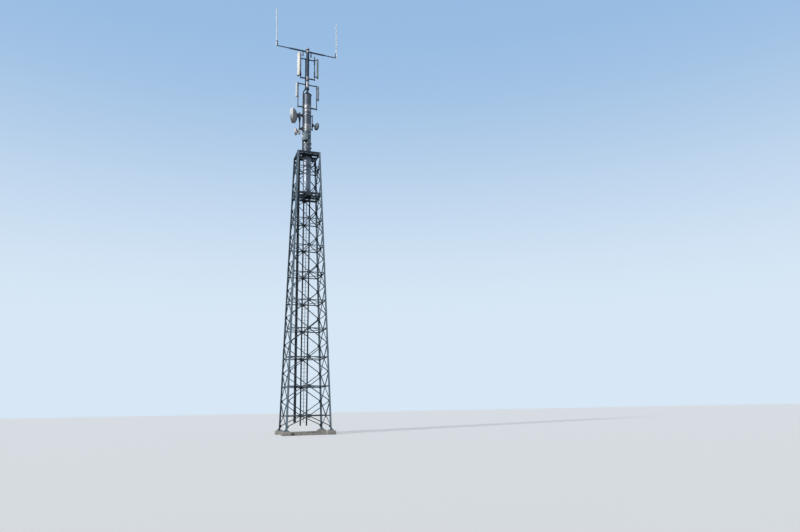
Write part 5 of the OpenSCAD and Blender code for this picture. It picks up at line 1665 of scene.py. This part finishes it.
class TOWER_OT_stage(bpy.types.Operator):
    """Lay the floor, and set the light and the camera"""
    bl_idname = "tower.stage"
    bl_label = "Stage"

    def execute(self, context):
        stage = context.scene.tower_stage
        self.floor(context.scene, stage)
        self.backdrop(context.scene, stage)
        self.sun(context.scene, "key", stage.key, azimuth=209, height=24, spread=6)
        self.sun(context.scene, "fill", stage.key * 0.05, azimuth=330, height=25, spread=60)
        self.camera(context.scene, stage)
        return {"FINISHED"}

    def floor(self, scene, stage):
        """Wide floor that looks pale to the camera and throws little light back on the tower."""
        reach = 900
        mesh = bpy.data.meshes.new("floor")
        mesh.from_pydata([(-reach, -reach, 0), (reach, -reach, 0), (reach, reach, 0),
                          (-reach, reach, 0)], [], [(0, 1, 2, 3)])
        paint = Shader("floor")
        pale = paint.mix(paint.noise(0.4, 3), tint(stage.floor, 0.985), tint(stage.floor, 1.015))
        seen = paint.node("ShaderNodeLightPath", output="Is Camera Ray")
        paint.finish(Base_Color=paint.mix(seen, tint(stage.floor, 0.35), pale), Roughness=0.9,
                     Emission_Color=paint.mix(seen, (0, 0, 0, 1), tint(stage.floor, 0.25)),
                     Emission_Strength=1.0)
        mesh.materials.append(FINISH["floor"])
        floor = bpy.data.objects.new("floor", mesh)
        scene.collection.objects.link(floor)

    def backdrop(self, scene, stage):
        """Soft light from all round, and a backdrop for what is seen or mirrored of it."""
        world = bpy.data.worlds.new("studio")
        world.use_nodes = True
        world.node_tree.nodes.clear()
        w = NodeTree(world.node_tree)
        rays = w.tree.nodes.new("ShaderNodeLightPath")
        seen = [Signal(w, rays.outputs[name])
                for name in ("Is Camera Ray", "Is Glossy Ray", "Is Transmission Ray")]
        height = w.node("ShaderNodeTexCoord", output="Generated").part("Z").smooth(0.12, 0.58)
        fade = w.mix(height, tint(stage.backdrop), tint(stage.backdrop_high))
        shown = w.node("ShaderNodeBackground", {"Color": fade, "Strength": 1.0})
        soft = w.node("ShaderNodeBackground", {"Color": (0.86, 0.94, 1, 1), "Strength": stage.sky})
        mask = w.node("ShaderNodeClamp", {"Value": seen[0] + seen[1] + seen[2]})
        both = w.node("ShaderNodeMixShader", {0: mask, 1: soft, 2: shown})
        out = w.tree.nodes.new("ShaderNodeOutputWorld")
        w.tree.links.new(both.socket, out.inputs["Surface"])
        scene.world = world

    def sun(self, scene, name, strength, azimuth, height, spread):
        """Sun lamp from an azimuth and a height, its disc spread wide. All three in degrees."""
        azimuth, height = math.radians(azimuth), math.radians(height)
        lamp = bpy.data.lights.new(name, "SUN")
        lamp.energy, lamp.angle = strength, math.radians(spread)
        towards = Vector((*polar(math.cos(height), azimuth), math.sin(height)))
        sun = bpy.data.objects.new(name, lamp)
        sun.rotation_euler = towards.to_track_quat("Z", "Y").to_euler()
        scene.collection.objects.link(sun)

    def camera(self, scene, stage):
        """Camera at eye level, with the tower left of the middle as in the photo."""
        yaw, pitch, roll = math.radians(19.41), math.radians(10.222), math.radians(-1.075)
        distance, aside, eye_height = 49.0, 7.451, 1.7
        ahead = Vector((math.sin(yaw), math.cos(yaw), 0))
        right = Vector((math.cos(yaw), -math.sin(yaw), 0))
        place = -distance * ahead + aside * right
        place.z = eye_height
        up = Vector((0, 0, 1)) * math.cos(pitch) - ahead * math.sin(pitch)
        view = ahead * math.cos(pitch) + Vector((0, 0, 1)) * math.sin(pitch)
        across = right * math.cos(roll) + up * math.sin(roll)
        upward = up * math.cos(roll) - right * math.sin(roll)
        lens = bpy.data.cameras.new("camera")
        lens.lens, lens.sensor_width, lens.sensor_fit = stage.lens, 36.0, "HORIZONTAL"
        lens.shift_y = 30.4 / 800
        lens.clip_end = 2000
        camera = bpy.data.objects.new("camera", lens)
        camera.matrix_world = Matrix((
            (across.x, upward.x, -view.x, place.x), (across.y, upward.y, -view.y, place.y),
            (across.z, upward.z, -view.z, place.z), (0, 0, 0, 1)))
        scene.collection.objects.link(camera)
        scene.camera = camera
        scene.view_settings.view_transform = "Standard"


class TOWER_PT_sidebar(bpy.types.Panel):
    """Lists the tower's pieces and their settings"""
    bl_idname = "TOWER_PT_sidebar"
    bl_label = "Lattice antenna tower"
    bl_space_type = "VIEW_3D"
    bl_region_type = "UI"
    bl_category = "Tower"

    def draw(self, context):
        for operator in OPERATORS:
            self.layout.operator(operator.bl_idname)
        for name in SETTINGS:
            group = getattr(context.scene, name)
            box = self.layout.box()
            for key in group.__annotations__:
                box.prop(group, key)


SETTINGS = {"tower_fasteners": FastenerSettings, "tower_cables": CableSettings,
            "tower_grating": GratingSettings, "tower_finishes": FinishSettings,
            "tower_stage": StageSettings}
OPERATORS = (TOWER_OT_carried, TOWER_OT_lattice, TOWER_OT_deck, TOWER_OT_mast, TOWER_OT_clamps,
             TOWER_OT_crossarm, TOWER_OT_panels, TOWER_OT_dishes, TOWER_OT_housing,
             TOWER_OT_ladders, TOWER_OT_stage)


def register():
    for made in (*SETTINGS.values(), *OPERATORS, TOWER_PT_sidebar):
        bpy.utils.register_class(made)
    for name, group in SETTINGS.items():
        setattr(bpy.types.Scene, name, PointerProperty(type=group))


def unregister():
    for name in SETTINGS:
        delattr(bpy.types.Scene, name)
    for made in reversed((*SETTINGS.values(), *OPERATORS, TOWER_PT_sidebar)):
        bpy.utils.unregister_class(made)


def main():
    register()
    for operator in OPERATORS:
        group, name = operator.bl_idname.split(".")
        getattr(getattr(bpy.ops, group), name)()
    bpy.context.view_layer.update()


if __name__ == "__main__":
    main()
